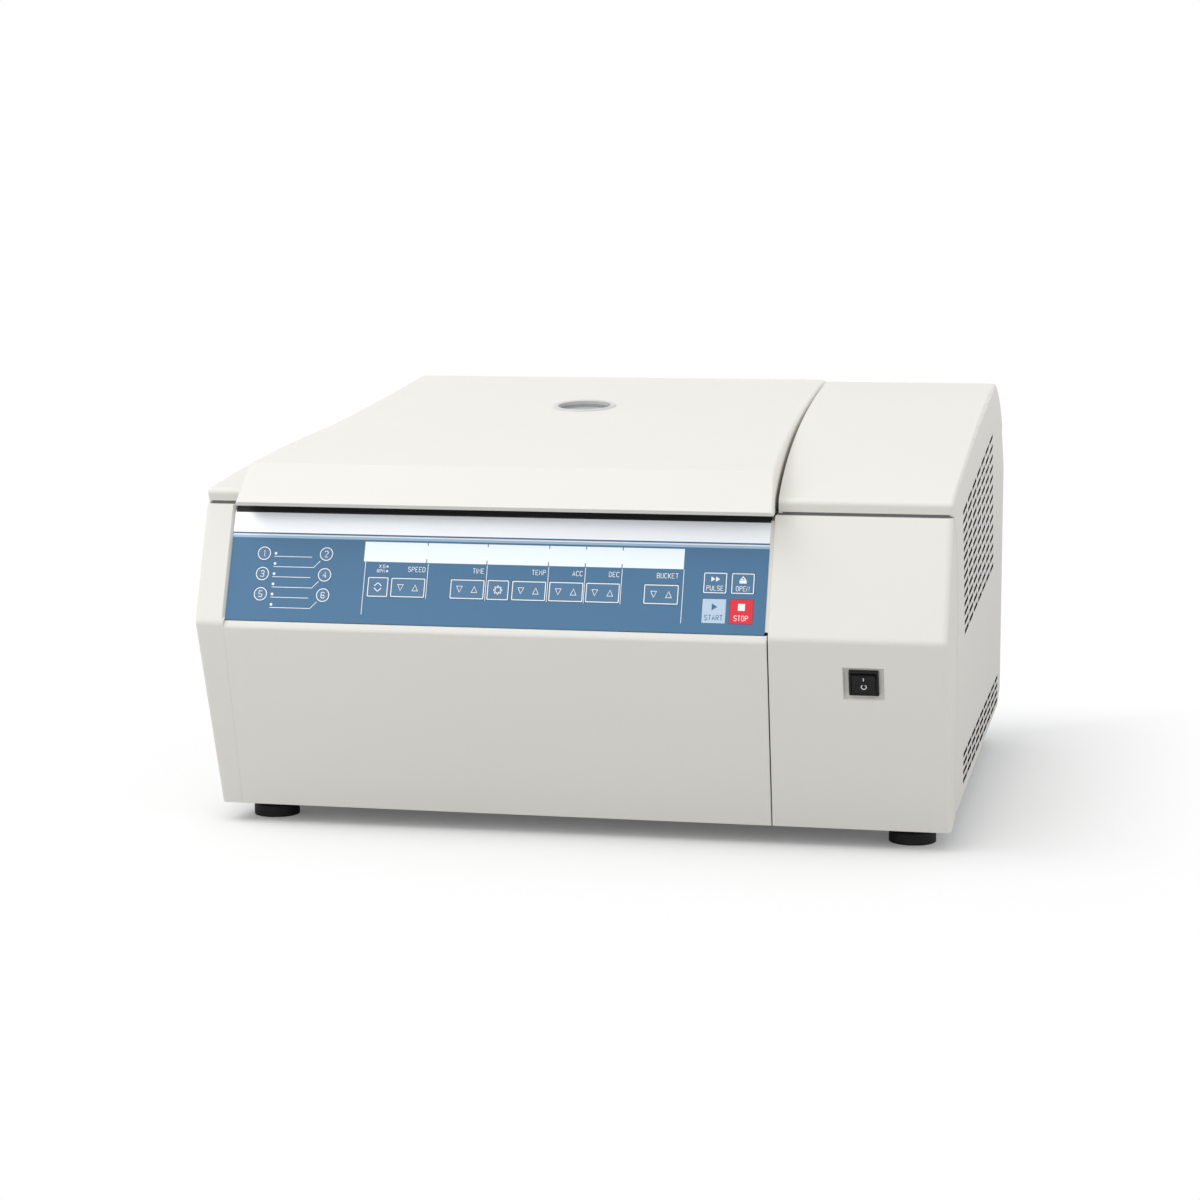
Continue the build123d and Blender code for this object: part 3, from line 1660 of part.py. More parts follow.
blade_count = 5
blade_pitch = radians(58)
with BuildPart() as condenser_fan:
    with BuildSketch(Plane.YZ.offset(shroud_left + 7)):
        with Locations((condenser_y, fan_z)):
            Circle(20)
    extrude(amount=15)
    for blade in range(blade_count):
        turn = 2 * pi / blade_count * blade
        spoke = Vector(0, cos(turn), sin(turn))
        across = Vector(cos(blade_pitch), -sin(blade_pitch) * sin(turn), sin(blade_pitch) * cos(turn))
        blade_plane = Plane(
            origin=Vector(shroud_left + 14.5, condenser_y, fan_z) + spoke * 17,
            x_dir=across,
            z_dir=spoke,
        )
        with BuildSketch(blade_plane):
            Rectangle(26, 2)
        extrude(amount=fan_radius - 17)
    with BuildSketch(Plane.YZ.offset(shroud_left + 7)):
        with Locations((condenser_y, fan_z)):
            Circle(4 + running)
    extrude(amount=12 + face_gap, mode=Mode.SUBTRACT)

pipe_radius = 4.0
pipe_start_z = fan_z
discharge_route = (
    (compressor_x, compressor_y - compressor_radius, pipe_start_z),
    (compressor_x, compressor_y - compressor_radius - 30, pipe_start_z),
    (condenser_x + condenser_thickness / 2, compressor_y - compressor_radius - 30, pipe_start_z),
    (
        condenser_x + condenser_thickness / 2,
        condenser_y + condenser_length / 2 + return_bend,
        pipe_start_z,
    ),
)
suction_z = base_floor_z + compressor_height * 0.76
suction_route = (
    (compressor_x - compressor_radius, compressor_y, suction_z),
    (bay_left + 8, compressor_y, suction_z),
    (bay_left + 8, chamber_y, suction_z),
    (lid_x + foam_radius, chamber_y, suction_z),
)


def pipe(route):
    """A copper pipe with brazed elbows through the points of a route."""
    start = Vector(*route[0])
    heading = Vector(*route[1]) - start
    with BuildLine() as path:
        Polyline(*route)
    with BuildSketch(Plane(origin=start, z_dir=heading)) as section:
        Circle(pipe_radius)
    sweep(section.sketch, path=path.line, transition=Transition.RIGHT)


with BuildPart() as refrigerant_pipes:
    pipe(discharge_route)
    pipe(suction_route)

controller_length = 200.0
controller_height = 120.0
controller_low_y = base_front_y + 6.0
controller_high_y = chamber_y - foam_radius - 6.0
with BuildPart() as motor_controller:
    block(
        lid_x - controller_length / 2,
        lid_x + controller_length / 2,
        controller_low_y,
        controller_high_y,
        base_floor_z,
        base_floor_z + controller_height,
    )
    sink_count = 14
    with BuildSketch(Plane.XY.offset(base_floor_z + controller_height)):
        with Locations((lid_x, (controller_low_y + controller_high_y) / 2)):
            with GridLocations(controller_length / sink_count, 0, sink_count, 1):
                Rectangle(3, controller_high_y - controller_low_y)
    extrude(amount=16)

save(compressor.part.moved(Location((compressor_x, compressor_y, 0))), "compressor")
save(condenser.part, "condenser")
save(fan_shroud.part, "fan_shroud")
save(condenser_fan.part, "condenser_fan")
save(refrigerant_pipes.part, "refrigerant_pipes")
save(motor_controller.part, "motor_controller")
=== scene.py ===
import json
from math import atan2, cos, hypot, pi, radians, sin

import bpy
from mathutils import Matrix, Vector

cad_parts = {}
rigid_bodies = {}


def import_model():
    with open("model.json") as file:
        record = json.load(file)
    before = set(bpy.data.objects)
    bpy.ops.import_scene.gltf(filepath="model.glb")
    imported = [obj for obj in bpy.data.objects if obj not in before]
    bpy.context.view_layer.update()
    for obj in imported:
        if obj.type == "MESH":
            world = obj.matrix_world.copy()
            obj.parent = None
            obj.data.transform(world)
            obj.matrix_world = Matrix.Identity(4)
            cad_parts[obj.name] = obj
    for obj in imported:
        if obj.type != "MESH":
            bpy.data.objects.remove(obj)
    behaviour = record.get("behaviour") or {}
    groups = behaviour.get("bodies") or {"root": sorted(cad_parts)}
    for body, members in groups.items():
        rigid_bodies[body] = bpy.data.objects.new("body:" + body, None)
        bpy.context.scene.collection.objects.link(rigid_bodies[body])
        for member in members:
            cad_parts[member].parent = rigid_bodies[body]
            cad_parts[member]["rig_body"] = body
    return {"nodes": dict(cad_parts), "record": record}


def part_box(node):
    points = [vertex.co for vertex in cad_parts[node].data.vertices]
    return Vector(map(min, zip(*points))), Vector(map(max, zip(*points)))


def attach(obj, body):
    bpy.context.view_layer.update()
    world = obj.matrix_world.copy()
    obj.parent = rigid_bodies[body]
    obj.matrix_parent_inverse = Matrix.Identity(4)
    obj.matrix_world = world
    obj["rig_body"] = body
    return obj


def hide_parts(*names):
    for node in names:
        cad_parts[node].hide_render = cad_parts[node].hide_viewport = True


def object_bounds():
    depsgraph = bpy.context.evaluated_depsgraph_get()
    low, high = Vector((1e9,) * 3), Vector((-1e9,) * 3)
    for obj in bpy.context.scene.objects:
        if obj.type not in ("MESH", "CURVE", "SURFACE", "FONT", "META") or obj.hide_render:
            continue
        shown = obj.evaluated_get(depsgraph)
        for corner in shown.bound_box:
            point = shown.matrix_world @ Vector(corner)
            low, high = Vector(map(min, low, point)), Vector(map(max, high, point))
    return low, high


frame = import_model()
nodes = frame["nodes"]
cad_low, cad_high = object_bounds()

MM = 0.001
X_AXIS, Y_AXIS, Z_AXIS = Vector((1, 0, 0)), Vector((0, 1, 0)), Vector((0, 0, 1))


# ------------------------------------------------------------------ finishes
class Value:
    """A number, colour or vector on its way through a material's nodes."""

    def __init__(self, finish, socket):
        self.finish = finish
        self.socket = socket

    def math(self, operation, *values):
        return self.finish.node("Math", {"operation": operation}, dict(enumerate(values)))

    def __add__(self, other):
        return self.math("ADD", self, other)

    __radd__ = __add__

    def __sub__(self, other):
        return self.math("SUBTRACT", self, other)

    def __rsub__(self, other):
        return self.math("SUBTRACT", other, self)

    def __mul__(self, other):
        return self.math("MULTIPLY", self, other)

    __rmul__ = __mul__

    def __gt__(self, other):
        return self.math("GREATER_THAN", self, other)

    def between(self, low, high, soft):
        """1 inside low to high, 0 outside, with soft edges."""

        def ramp(edge, before, after):
            stops = {0: self, 1: edge - soft, 2: edge + soft, 3: before, 4: after}
            return self.finish.node("MapRange", {}, stops)

        return ramp(low, 0.0, 1.0) * ramp(high, 1.0, 0.0)


class Finish:
    """One material: a principled shader and the nodes that vary it over the surface."""

    def __init__(self, name, **constants):
        self.material = bpy.data.materials.new(name)
        self.material.use_nodes = True
        self.tree = self.material.node_tree
        self.tree.nodes.clear()
        self.shader = self.tree.nodes.new("ShaderNodeBsdfPrincipled")
        output = self.tree.nodes.new("ShaderNodeOutputMaterial")
        self.tree.links.new(self.shader.outputs[0], output.inputs[0])
        for socket, value in constants.items():
            self.shader.inputs[socket.replace("_", " ")].default_value = value
        self.place = Value(self, self.tree.nodes.new("ShaderNodeTexCoord").outputs["Object"])

    def feed(self, socket, value):
        if isinstance(value, Value):
            self.tree.links.new(value.socket, socket)
        else:
            socket.default_value = value

    def node(self, kind, settings=None, inputs=None, output=0):
        made = self.tree.nodes.new("ShaderNode" + kind)
        for key, value in (settings or {}).items():
            setattr(made, key, value)
        for key, value in (inputs or {}).items():
            self.feed(made.inputs[key], value)
        return Value(self, made.outputs[output])

    def noise(self, scale, detail=2.0, stretch=(1, 1, 1)):
        """Soft noise around 0.5; stretch squeezes it along an axis."""
        placed = self.node("Mapping", {}, {"Vector": self.place, "Scale": stretch})
        return self.node("TexNoise", {}, {"Vector": placed, "Scale": scale, "Detail": detail})

    def axis(self, index):
        """The object's own X, Y or Z."""
        return self.node("SeparateXYZ", {}, {0: self.place}, output=index)

    def along(self, direction):
        """How far a point lies along a direction."""
        return self.node(
            "VectorMath",
            {"operation": "DOT_PRODUCT"},
            {0: self.place, 1: direction},
            output="Value",
        )

    def blend(self, share, first, second):
        """A colour from first to second."""
        return self.node(
            "Mix",
            {"data_type": "RGBA"},
            {"Factor": share, 6: first, 7: second},
            output=2,
        )

    def colour(self, value):
        self.feed(self.shader.inputs["Base Color"], value)

    def rough(self, value):
        self.feed(self.shader.inputs["Roughness"], value)

    def bump(self, height, depth):
        """Height, in 0 to 1, as a surface texture of that depth in metres."""
        made = self.node("Bump", {}, {"Distance": depth, "Height": height})
        self.feed(self.shader.inputs["Normal"], made)


def tint(colour, factor):
    """The same colour, lighter or darker."""
    return tuple(min(1.0, c * factor) for c in colour[:3]) + (1.0,)


def moulded(name, colour, roughness, grain=1800.0, depth=0.00002, mottle=0.03, **constants):
    """Moulded or painted surface: faint clouding, a fine spark-eroded grain, uneven gloss."""
    finish = Finish(name, **constants)
    clouds = finish.noise(7.0, 3.0)
    finish.colour(finish.blend(clouds, tint(colour, 1 - mottle), tint(colour, 1 + mottle)))
    fine = finish.noise(grain, 2.0)
    finish.rough(roughness - 0.05 + 0.1 * finish.noise(38.0, 2.0))
    finish.bump(fine, depth)
    return finish.material


def brushed(name, colour, roughness, stretch, scale=900.0, depth=0.00001, mottle=0.06):
    """Metal with fine parallel brushing along the axis that stretch leaves short."""
    finish = Finish(name, Metallic=1.0)
    lines = finish.noise(scale, 4.0, stretch)
    finish.colour(finish.blend(lines, tint(colour, 1 - mottle), tint(colour, 1 + mottle)))
    finish.rough(roughness - 0.08 + 0.16 * finish.noise(scale * 0.6, 3.0, stretch))
    finish.bump(lines, depth)
    return finish.material


def turned(name, colour, roughness, centre, rings=1100.0, depth=0.00001):
    """Metal turned or polished in rings round an upright axis."""
    finish = Finish(name, Metallic=1.0)
    across = finish.axis(0) - centre[0]
    along = finish.axis(1) - centre[1]
    radius = finish.node("Math", {"operation": "SQRT"}, {0: across * across + along * along})
    grooves = finish.node(
        "TexNoise",
        {"noise_dimensions": "1D"},
        {"W": radius + finish.axis(2), "Scale": rings, "Detail": 3.0},
    )
    finish.colour(finish.blend(grooves, tint(colour, 0.94), tint(colour, 1.05)))
    finish.rough(roughness - 0.06 + 0.12 * grooves)
    finish.bump(grooves, depth)
    return finish.material


# ------------------------------------------------------------------ colours
CASING = (0.805, 0.79, 0.742, 1)
SHEET = (0.60, 0.61, 0.61, 1)
STAINLESS = (0.66, 0.67, 0.68, 1)
STEEL = (0.46, 0.47, 0.48, 1)
ALUMINIUM = (0.74, 0.75, 0.76, 1)
COPPER = (0.70, 0.36, 0.22, 1)
RUBBER = (0.010, 0.010, 0.011, 1)
SEAL_GREY = (0.16, 0.17, 0.18, 1)
BLACK = (0.009, 0.009, 0.010, 1)
FOAM = (0.70, 0.63, 0.42, 1)
BOARD = (0.02, 0.16, 0.06, 1)
FOIL_BLUE = (0.066, 0.176, 0.315, 1)
FOIL_SILVER = (0.88, 0.91, 0.95, 1)
STRIPE_PALE = (0.36, 0.55, 0.72, 1)
STRIPE_DARK = (0.055, 0.150, 0.300, 1)
START_BLUE = (0.50, 0.64, 0.78, 1)
STOP_RED = (0.76, 0.012, 0.030, 1)
INK = (0.93, 0.95, 0.97, 1)
DISPLAY = (0.80, 0.87, 0.90, 1)
RING_GREY = (0.62, 0.62, 0.61, 1)

# ------------------------------------------------------------------ fascia
# Heights on the fascia run up its slope; the foil's lower edge lies FOIL_FOOT above their start.
FOIL_FOOT = 6.5 * MM
STRIPE_LOW = 73.9 * MM
STRIPE_HIGH = 76.0 * MM
LINE_LOW = 77.1 * MM
BAND_LOW = 78.4 * MM
INK_DEPTH = 0.05 * MM
INK_SUNK = 0.01 * MM
foil_points = [point.co for point in nodes["keypad_foil"].data.vertices]
foil_face = max(nodes["keypad_foil"].data.polygons, key=lambda face: -face.normal.y * face.area)
FASCIA_OUT = foil_face.normal.copy()
FASCIA_UP = FASCIA_OUT.cross(X_AXIS)
FASCIA_START = min(FASCIA_UP.dot(point) for point in foil_points) - FOIL_FOOT


def foil_print():
    """Printed foil: silver head band, a dark line, a pale stripe and the blue field."""
    finish = Finish("keypad_foil_print", Specular_IOR_Level=0.35)
    height = finish.along(FASCIA_UP) - FASCIA_START
    clouds = finish.noise(9.0, 3.0)
    field = finish.blend(clouds, tint(FOIL_BLUE, 0.97), tint(FOIL_BLUE, 1.04))
    spark = finish.noise(2600.0, 1.0)
    silver = finish.blend(spark, tint(FOIL_SILVER, 0.98), tint(FOIL_SILVER, 1.03))
    stripe = height.between(STRIPE_LOW, STRIPE_HIGH, 0.3 * MM)
    pale = height.between(STRIPE_HIGH - 0.1 * MM, LINE_LOW, 0.1 * MM)
    line = height.between(LINE_LOW, BAND_LOW, 0.1 * MM)
    band = height > BAND_LOW
    colour = finish.blend(stripe, field, STRIPE_PALE)
    colour = finish.blend(pale, colour, FOIL_SILVER)
    colour = finish.blend(line, colour, STRIPE_DARK)
    finish.colour(finish.blend(band, colour, silver))
    finish.feed(finish.shader.inputs["Metallic"], 0.35 * band)
    finish.rough(0.36 + 0.08 * finish.noise(60.0, 2.0))
    finish.bump(finish.noise(2400.0, 1.0), 0.006 * MM)
    return finish.material


def printed(name, colour):
    """Screen-printed ink, barely uneven."""
    finish = Finish(name, Specular_IOR_Level=0.4)
    finish.colour(finish.blend(finish.noise(300.0, 2.0), tint(colour, 0.96), tint(colour, 1.03)))
    finish.rough(0.4 + 0.1 * finish.noise(500.0, 1.0))
    return finish.material


def sight_pane():
    """Scratch-resistant clear pane, faintly smoky, with faint cloudy reflections."""
    finish = Finish("sight_pane", Transmission_Weight=0.85, IOR=1.49)
    clouds = finish.noise(30.0, 3.0)
    finish.colour(finish.blend(clouds, (0.50, 0.52, 0.55, 1), (0.60, 0.62, 0.65, 1)))
    finish.rough(0.05 + 0.06 * clouds)
    return finish.material


DISPLAY_GLOW = {"Emission_Color": (0.85, 0.95, 1.0, 1), "Emission_Strength": 0.15}
FINISHES = {
    "casing": moulded(
        "casing_plastic", CASING, 0.5, 1500.0, 0.012 * MM, 0.012, Specular_IOR_Level=0.3
    ),
    "painted_sheet": moulded("powder_coat", SHEET, 0.5, 900.0, 0.04 * MM, 0.03),
    "stainless": brushed("brushed_stainless", STAINLESS, 0.34, (1, 0.02, 1)),
    "steel": brushed("machined_steel", STEEL, 0.38, (0.05, 1, 1)),
    "aluminium": moulded(
        "bead_blasted_aluminium", ALUMINIUM, 0.42, 2200.0, 0.02 * MM, 0.03, Metallic=1.0
    ),
    "rubber_black": moulded(
        "black_rubber", RUBBER, 0.6, 1200.0, 0.05 * MM, 0.15, Specular_IOR_Level=0.3
    ),
    "rubber_grey": moulded("grey_seal_rubber", SEAL_GREY, 0.6, 1400.0, 0.04 * MM, 0.08),
    "black_plastic": moulded(
        "black_plastic", BLACK, 0.4, 1600.0, 0.02 * MM, 0.12, Specular_IOR_Level=0.35
    ),
    "keypad_blue": foil_print(),
    "key_blue": moulded("key_field_blue", FOIL_BLUE, 0.38, 2400.0, 0.006 * MM, 0.03),
    "start_blue": moulded("key_field_pale", START_BLUE, 0.38, 2400.0, 0.006 * MM, 0.02),
    "stop_red": moulded("key_field_red", STOP_RED, 0.38, 2400.0, 0.006 * MM, 0.02),
    "display": moulded("display_window", DISPLAY, 0.16, 400.0, 0.002 * MM, 0.01, **DISPLAY_GLOW),
    "sight_glass": sight_pane(),
    "ring_grey": moulded("sight_ring_plastic", RING_GREY, 0.3, 1500.0, 0.01 * MM, 0.02),
    "foam": moulded("rigid_foam", FOAM, 0.8, 420.0, 0.3 * MM, 0.10),
    "copper": brushed("drawn_copper", COPPER, 0.36, (1, 1, 0.05)),
    "board": moulded("circuit_board", BOARD, 0.35, 700.0, 0.03 * MM, 0.15),
    "black_enamel": moulded("black_enamel", BLACK, 0.25, 120.0, 0.06 * MM, 0.10, Coat_Weight=0.5),
}
bowl_low, bowl_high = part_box("chamber_bowl")
bowl_centre = (bowl_low + bowl_high) / 2
TURNED_STEEL = turned("spun_bowl_steel", STAINLESS, 0.30, bowl_centre)
TURNED_ALUMINIUM = turned("turned_aluminium", ALUMINIUM, 0.32, bowl_centre)
INK_WHITE = printed("white_ink", INK)
INK_BLUE = printed("blue_ink", STRIPE_DARK)
SPECIAL = {
    "chamber_bowl": TURNED_STEEL,
    "drive_shaft": TURNED_ALUMINIUM,
    "rotor_knob": TURNED_ALUMINIUM,
}


def dress(obj, material):
    """One finish all over a piece."""
    obj.data.materials.clear()
    obj.data.materials.append(material)


slot_of = {part["node"]: part["material_slot"] for part in frame["record"]["subparts"]}
for node_name, node in nodes.items():
    dress(node, SPECIAL.get(node_name) or FINISHES[slot_of[node_name]])


# ------------------------------------------------------------------ making pieces
def fresh():
    """Nothing selected, in object mode."""
    if bpy.context.mode != "OBJECT":
        bpy.ops.object.mode_set(mode="OBJECT")
    bpy.ops.object.select_all(action="DESELECT")


def only(obj):
    """A piece alone selected and active, in object mode."""
    fresh()
    obj.select_set(True)
    bpy.context.view_layer.objects.active = obj


def all_of(obj):
    """A piece in edit mode with its whole mesh selected."""
    only(obj)
    bpy.ops.object.mode_set(mode="EDIT")
    bpy.ops.mesh.select_all(action="SELECT")


def named(name):
    """The new active object, given its name."""
    obj = bpy.context.object
    obj.name = name
    obj.data.name = name
    return obj


def pick_faces(obj, wanted):
    """Selects the faces that wanted(centre, normal) is true for, in edit mode."""
    bpy.ops.object.mode_set(mode="EDIT")
    bpy.ops.mesh.select_mode(type="FACE")
    bpy.ops.mesh.select_all(action="DESELECT")
    bpy.ops.object.mode_set(mode="OBJECT")
    for face in obj.data.polygons:
        face.select = wanted(face.center, face.normal)
    bpy.ops.object.mode_set(mode="EDIT")


def raise_ink(depth):
    """Gives a flat printed shape its thickness, then ends edit mode."""
    bpy.ops.mesh.select_all(action="SELECT")
    bpy.ops.mesh.extrude_region_move(TRANSFORM_OT_translate={"value": (0, 0, depth)})
    bpy.ops.mesh.select_all(action="SELECT")
    bpy.ops.mesh.normals_make_consistent(inside=False)
    bpy.ops.object.mode_set(mode="OBJECT")


def keep_rim(line):
    """Insets the selected flat shape by a line's width and removes its middle."""
    bpy.ops.mesh.inset(thickness=line, depth=0)
    bpy.ops.mesh.delete(type="FACE")


def polygon(name, sides, width, height, line=0.0, corner=0.0, turn=0.0):
    """A flat printed shape in its own plan: filled, or an outline of a given line width."""
    fresh()
    if sides == 4:
        bpy.ops.mesh.primitive_plane_add(size=1)
    else:
        bpy.ops.mesh.primitive_circle_add(vertices=sides, radius=0.5, fill_type="NGON")
    obj = named(name)
    bpy.ops.object.mode_set(mode="EDIT")
    bpy.ops.mesh.select_all(action="SELECT")
    bpy.ops.transform.resize(value=(width, height, 1), center_override=(0, 0, 0))
    if corner:
        bpy.ops.mesh.bevel(offset=corner, segments=4, affect="VERTICES")
        bpy.ops.mesh.select_all(action="SELECT")
    if line:
        bpy.ops.mesh.select_mode(type="FACE")
        bpy.ops.mesh.select_all(action="SELECT")
        keep_rim(line)
    raise_ink(INK_DEPTH)
    obj.data.transform(Matrix.Rotation(turn, 4, "Z"))
    return obj


def stroke(name, start, end, width):
    """A straight printed line between two points of the fascia."""
    length = hypot(end[0] - start[0], end[1] - start[1])
    obj = polygon(name, 4, length + width * 0.6, width, corner=width * 0.3)
    turn = atan2(end[1] - start[1], end[0] - start[0])
    middle = ((start[0] + end[0]) / 2, (start[1] + end[1]) / 2, 0)
    obj.data.transform(Matrix.Translation(middle) @ Matrix.Rotation(turn, 4, "Z"))
    return obj


def inked(name, paths, weight, closed=False):
    """Printed lines of an even width along paths of points, with rounded joints."""
    drawing = bpy.data.curves.new(name, "CURVE")
    drawing.dimensions = "3D"
    drawing.bevel_depth = weight / 2
    drawing.bevel_resolution = 1
    drawing.use_fill_caps = True
    for path in paths:
        line = drawing.splines.new("POLY")
        line.points.add(len(path) - 1)
        line.use_cyclic_u = closed
        for point, (x, up) in zip(line.points, path):
            point.co = (x, up, 0, 1)
    fresh()
    obj = bpy.data.objects.new(name, drawing)
    bpy.context.scene.collection.objects.link(obj)
    obj.select_set(True)
    bpy.context.view_layer.objects.active = obj
    bpy.ops.object.convert(target="MESH")
    obj = named(name)
    flat = Matrix.Diagonal((1, 1, 2 * (INK_DEPTH - INK_SUNK) / weight, 1))
    obj.data.transform(Matrix.Translation((0, 0, INK_SUNK)) @ flat)
    return obj


def lettering(name, words, cap, narrow=0.75, align="CENTER"):
    """A printed word in plain line letters, each drawn on a grid 4 wide and 6 high."""
    unit = cap / 6
    paths = []
    run = 0
    for letter in words:
        widest = 0
        for path in LETTERS.get(letter, "").split():
            spots = [(int(x), int(up)) for x, up in zip(path[::2], path[1::2])]
            widest = max([widest] + [x for x, up in spots])
            paths.append([((run + x) * unit * narrow, (up - 3) * unit) for x, up in spots])
        run += widest + LETTER_GAP
    width = (run - LETTER_GAP) * unit * narrow
    obj = inked(name, paths, max(cap * 0.14, 0.45 * MM))
    back = {"CENTER": width / 2, "RIGHT": width}[align]
    obj.data.transform(Matrix.Translation((-back, 0, 0)))
    return obj


LETTER_GAP = 2.0
LETTERS = {
    "A": "002640 1232",
    "B": "00063645443303 3342413000",
    "C": "4536160501103041",
    "D": "00062645412000",
    "E": "46060040 0333",
    "G": "45361605011030414323",
    "I": "0006",
    "K": "0006 4602 1340",
    "L": "060040",
    "M": "0006234640",
    "N": "00064046",
    "O": "103041453616050110",
    "P": "00063645443303",
    "R": "00063645443303 2340",
    "S": "453616050413334241301001",
    "T": "0646 2620",
    "U": "060110304146",
    "X": "0046 0640",
    "1": "051610",
    "2": "05163645440040",
    "3": "05163645443342413010 0110 1333",
    "4": "30360242",
    "5": "460603334241301001",
    "6": "4536160501103041423313 1302",
}


def merge(name, pieces):
    """Joins several pieces into one."""
    fresh()
    for piece in pieces:
        piece.select_set(True)
    bpy.context.view_layer.objects.active = pieces[0]
    if len(pieces) > 1:
        bpy.ops.object.join()
    return named(name)


def shifted(obj, x, up):
    obj.data.transform(Matrix.Translation((x, up, 0)))
    return obj


def on_fascia(obj, node_name, body, material):
    """Lays a plan drawn in the fascia's own X and up onto the front face of a node there."""
    face = max(FASCIA_OUT.dot(point.co) for point in nodes[node_name].data.vertices)
    start = FASCIA_UP * FASCIA_START + FASCIA_OUT * (face - INK_SUNK)
    turned_up = Matrix((X_AXIS, FASCIA_UP, FASCIA_OUT)).transposed().to_4x4()
    obj.data.transform(Matrix.Translation(start) @ turned_up)
    dress(obj, material)
    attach(obj, body)
    return obj


def up_of(place):
    """Height of a place on the fascia's slope."""
    return FASCIA_UP.dot(place) - FASCIA_START


def out_of(place):
    """How far a place stands out of the casing's sloping front; the fascia lies deeper."""
    return FASCIA_OUT.dot(place) - FRONT_LEVEL


def finished_copy(node_name):
    """A copy of a CAD piece with its flat faces whole."""
    obj = bpy.data.objects.new(node_name + "_finished", nodes[node_name].data.copy())
    bpy.context.scene.collection.objects.link(obj)
    all_of(obj)
    bpy.ops.mesh.remove_doubles(threshold=0.002 * MM)
    bpy.ops.mesh.dissolve_limited(angle_limit=radians(0.5))
    bpy.ops.object.mode_set(mode="OBJECT")
    return obj


def move_points(obj, wanted, shift):
    """Moves the points that wanted(place) is true for by what shift(place) gives."""
    for point in obj.data.vertices:
        if wanted(point.co):
            point.co += shift(point.co)


def cut_off(obj, place, outward, fill=True):
    """Cuts a piece along a plane and takes away what lies outside it."""
    all_of(obj)
    bpy.ops.mesh.bisect(plane_co=place, plane_no=outward, use_fill=fill, clear_outer=fill)
    bpy.ops.object.mode_set(mode="OBJECT")


def bevel_edges(obj, wanted, width, segments=1):
    """Bevels the edges whose two ends wanted(place) is true for."""
    only(obj)
    bpy.ops.object.mode_set(mode="EDIT")
    bpy.ops.mesh.select_mode(type="EDGE")
    bpy.ops.mesh.select_all(action="DESELECT")
    bpy.ops.object.mode_set(mode="OBJECT")
    points = obj.data.vertices
    for edge in obj.data.edges:
        edge.select = all(wanted(points[index].co) for index in edge.vertices)
    bpy.ops.object.mode_set(mode="EDIT")
    bpy.ops.mesh.bevel(offset=width, segments=segments, affect="EDGES")
    bpy.ops.object.mode_set(mode="OBJECT")


def round_edges(obj, edge, segments=2, sharp=50):
    """Rounds the sharp edges of a piece and shades its curves smooth."""
    only(obj)
    bevel = obj.modifiers.new("rounding", "BEVEL")
    bevel.width = edge
    bevel.segments = segments
    bevel.limit_method = "ANGLE"
    bevel.angle_limit = radians(sharp)
    bpy.ops.object.modifier_apply(modifier="rounding")
    bpy.ops.object.shade_smooth_by_angle(angle=radians(sharp))
    weighted = obj.modifiers.new("even_shading", "WEIGHTED_NORMAL")
    weighted.keep_sharp = True
    bpy.ops.object.modifier_apply(modifier="even_shading")


def stand_in(obj, node_name):
    """Lets a piece take the place, motion and finish of a CAD node."""
    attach(obj, nodes[node_name]["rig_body"])
    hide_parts(node_name)


def seam_lean(place):
    """The seam between the two front panels leans to the left towards the foot."""
    share = min(1.0, max(0.0, (LEDGE_Z - place.z) / (LEDGE_Z - FOOT_Z)))
    return Vector((-SEAM_LEAN * share, 0, 0))


def shape_front_panel(obj):
    """The ledge under the keypad lies level with the foil, bright at its upper edge."""
    near = 0.4 * MM
    move_points(
        obj,
        lambda p: abs(up_of(p) - INNER_CORNER) < near and abs(out_of(p) + WALL) < near,
        lambda p: FASCIA_OUT * (-WALL),
    )
    cut_off(obj, FASCIA_UP * (FASCIA_START + LEDGE_TOP), FASCIA_UP)
    cut_off(obj, FASCIA_OUT * (FRONT_LEVEL - FOIL_DEPTH), FASCIA_OUT)

    def on_ledge(place):
        return abs(out_of(place) + FOIL_DEPTH) < 0.05 * MM

    def at_top(place):
        return on_ledge(place) and abs(up_of(place) - LEDGE_TOP) < 0.05 * MM

    bevel_edges(obj, at_top, LEDGE_CHAMFER)
    bevel_edges(obj, lambda p: on_ledge(p) and up_of(p) < 0, CREASE_ROUNDING, 4)
    left = min(point.co.x for point in obj.data.vertices)
    right = max(point.co.x for point in obj.data.vertices)
    move_points(obj, lambda p: p.x > right - 3 * MM, seam_lean)
    move_points(obj, lambda p: p.x < left + 11 * MM, lambda p: Vector((-0.5 * MM, 0, 0)))


def shape_bay_panel(obj):
    """The same lean on the other side of the seam."""
    left = min(point.co.x for point in obj.data.vertices)
    move_points(obj, lambda p: p.x < left + 4 * MM, seam_lean)


def shape_left_strip(obj):
    """The bevel beside the keypad reaches a little further in than the seam below it."""
    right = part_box("left_front_strip")[1].x
    move_points(
        obj,
        lambda p: p.x > right - STRIP_BEVEL and up_of(p) > 2.8 * MM,
        lambda p: Vector((MM, 0, 0)),
    )


def shape_side_cover(obj):
    """The last stretch of the side wall, above the kick of its lower edge, draws in."""
    cut_off(obj, Vector((0, BAND_Y, 0)), Y_AXIS, fill=False)
    inner = cad_high.x - CROWN
    move_points(
        obj,
        lambda p: p.x > inner and p.y > BAND_Y + MM,
        lambda p: Vector((-BAND_DRAW * (p.x - inner) / CROWN, 0, 0)),
    )


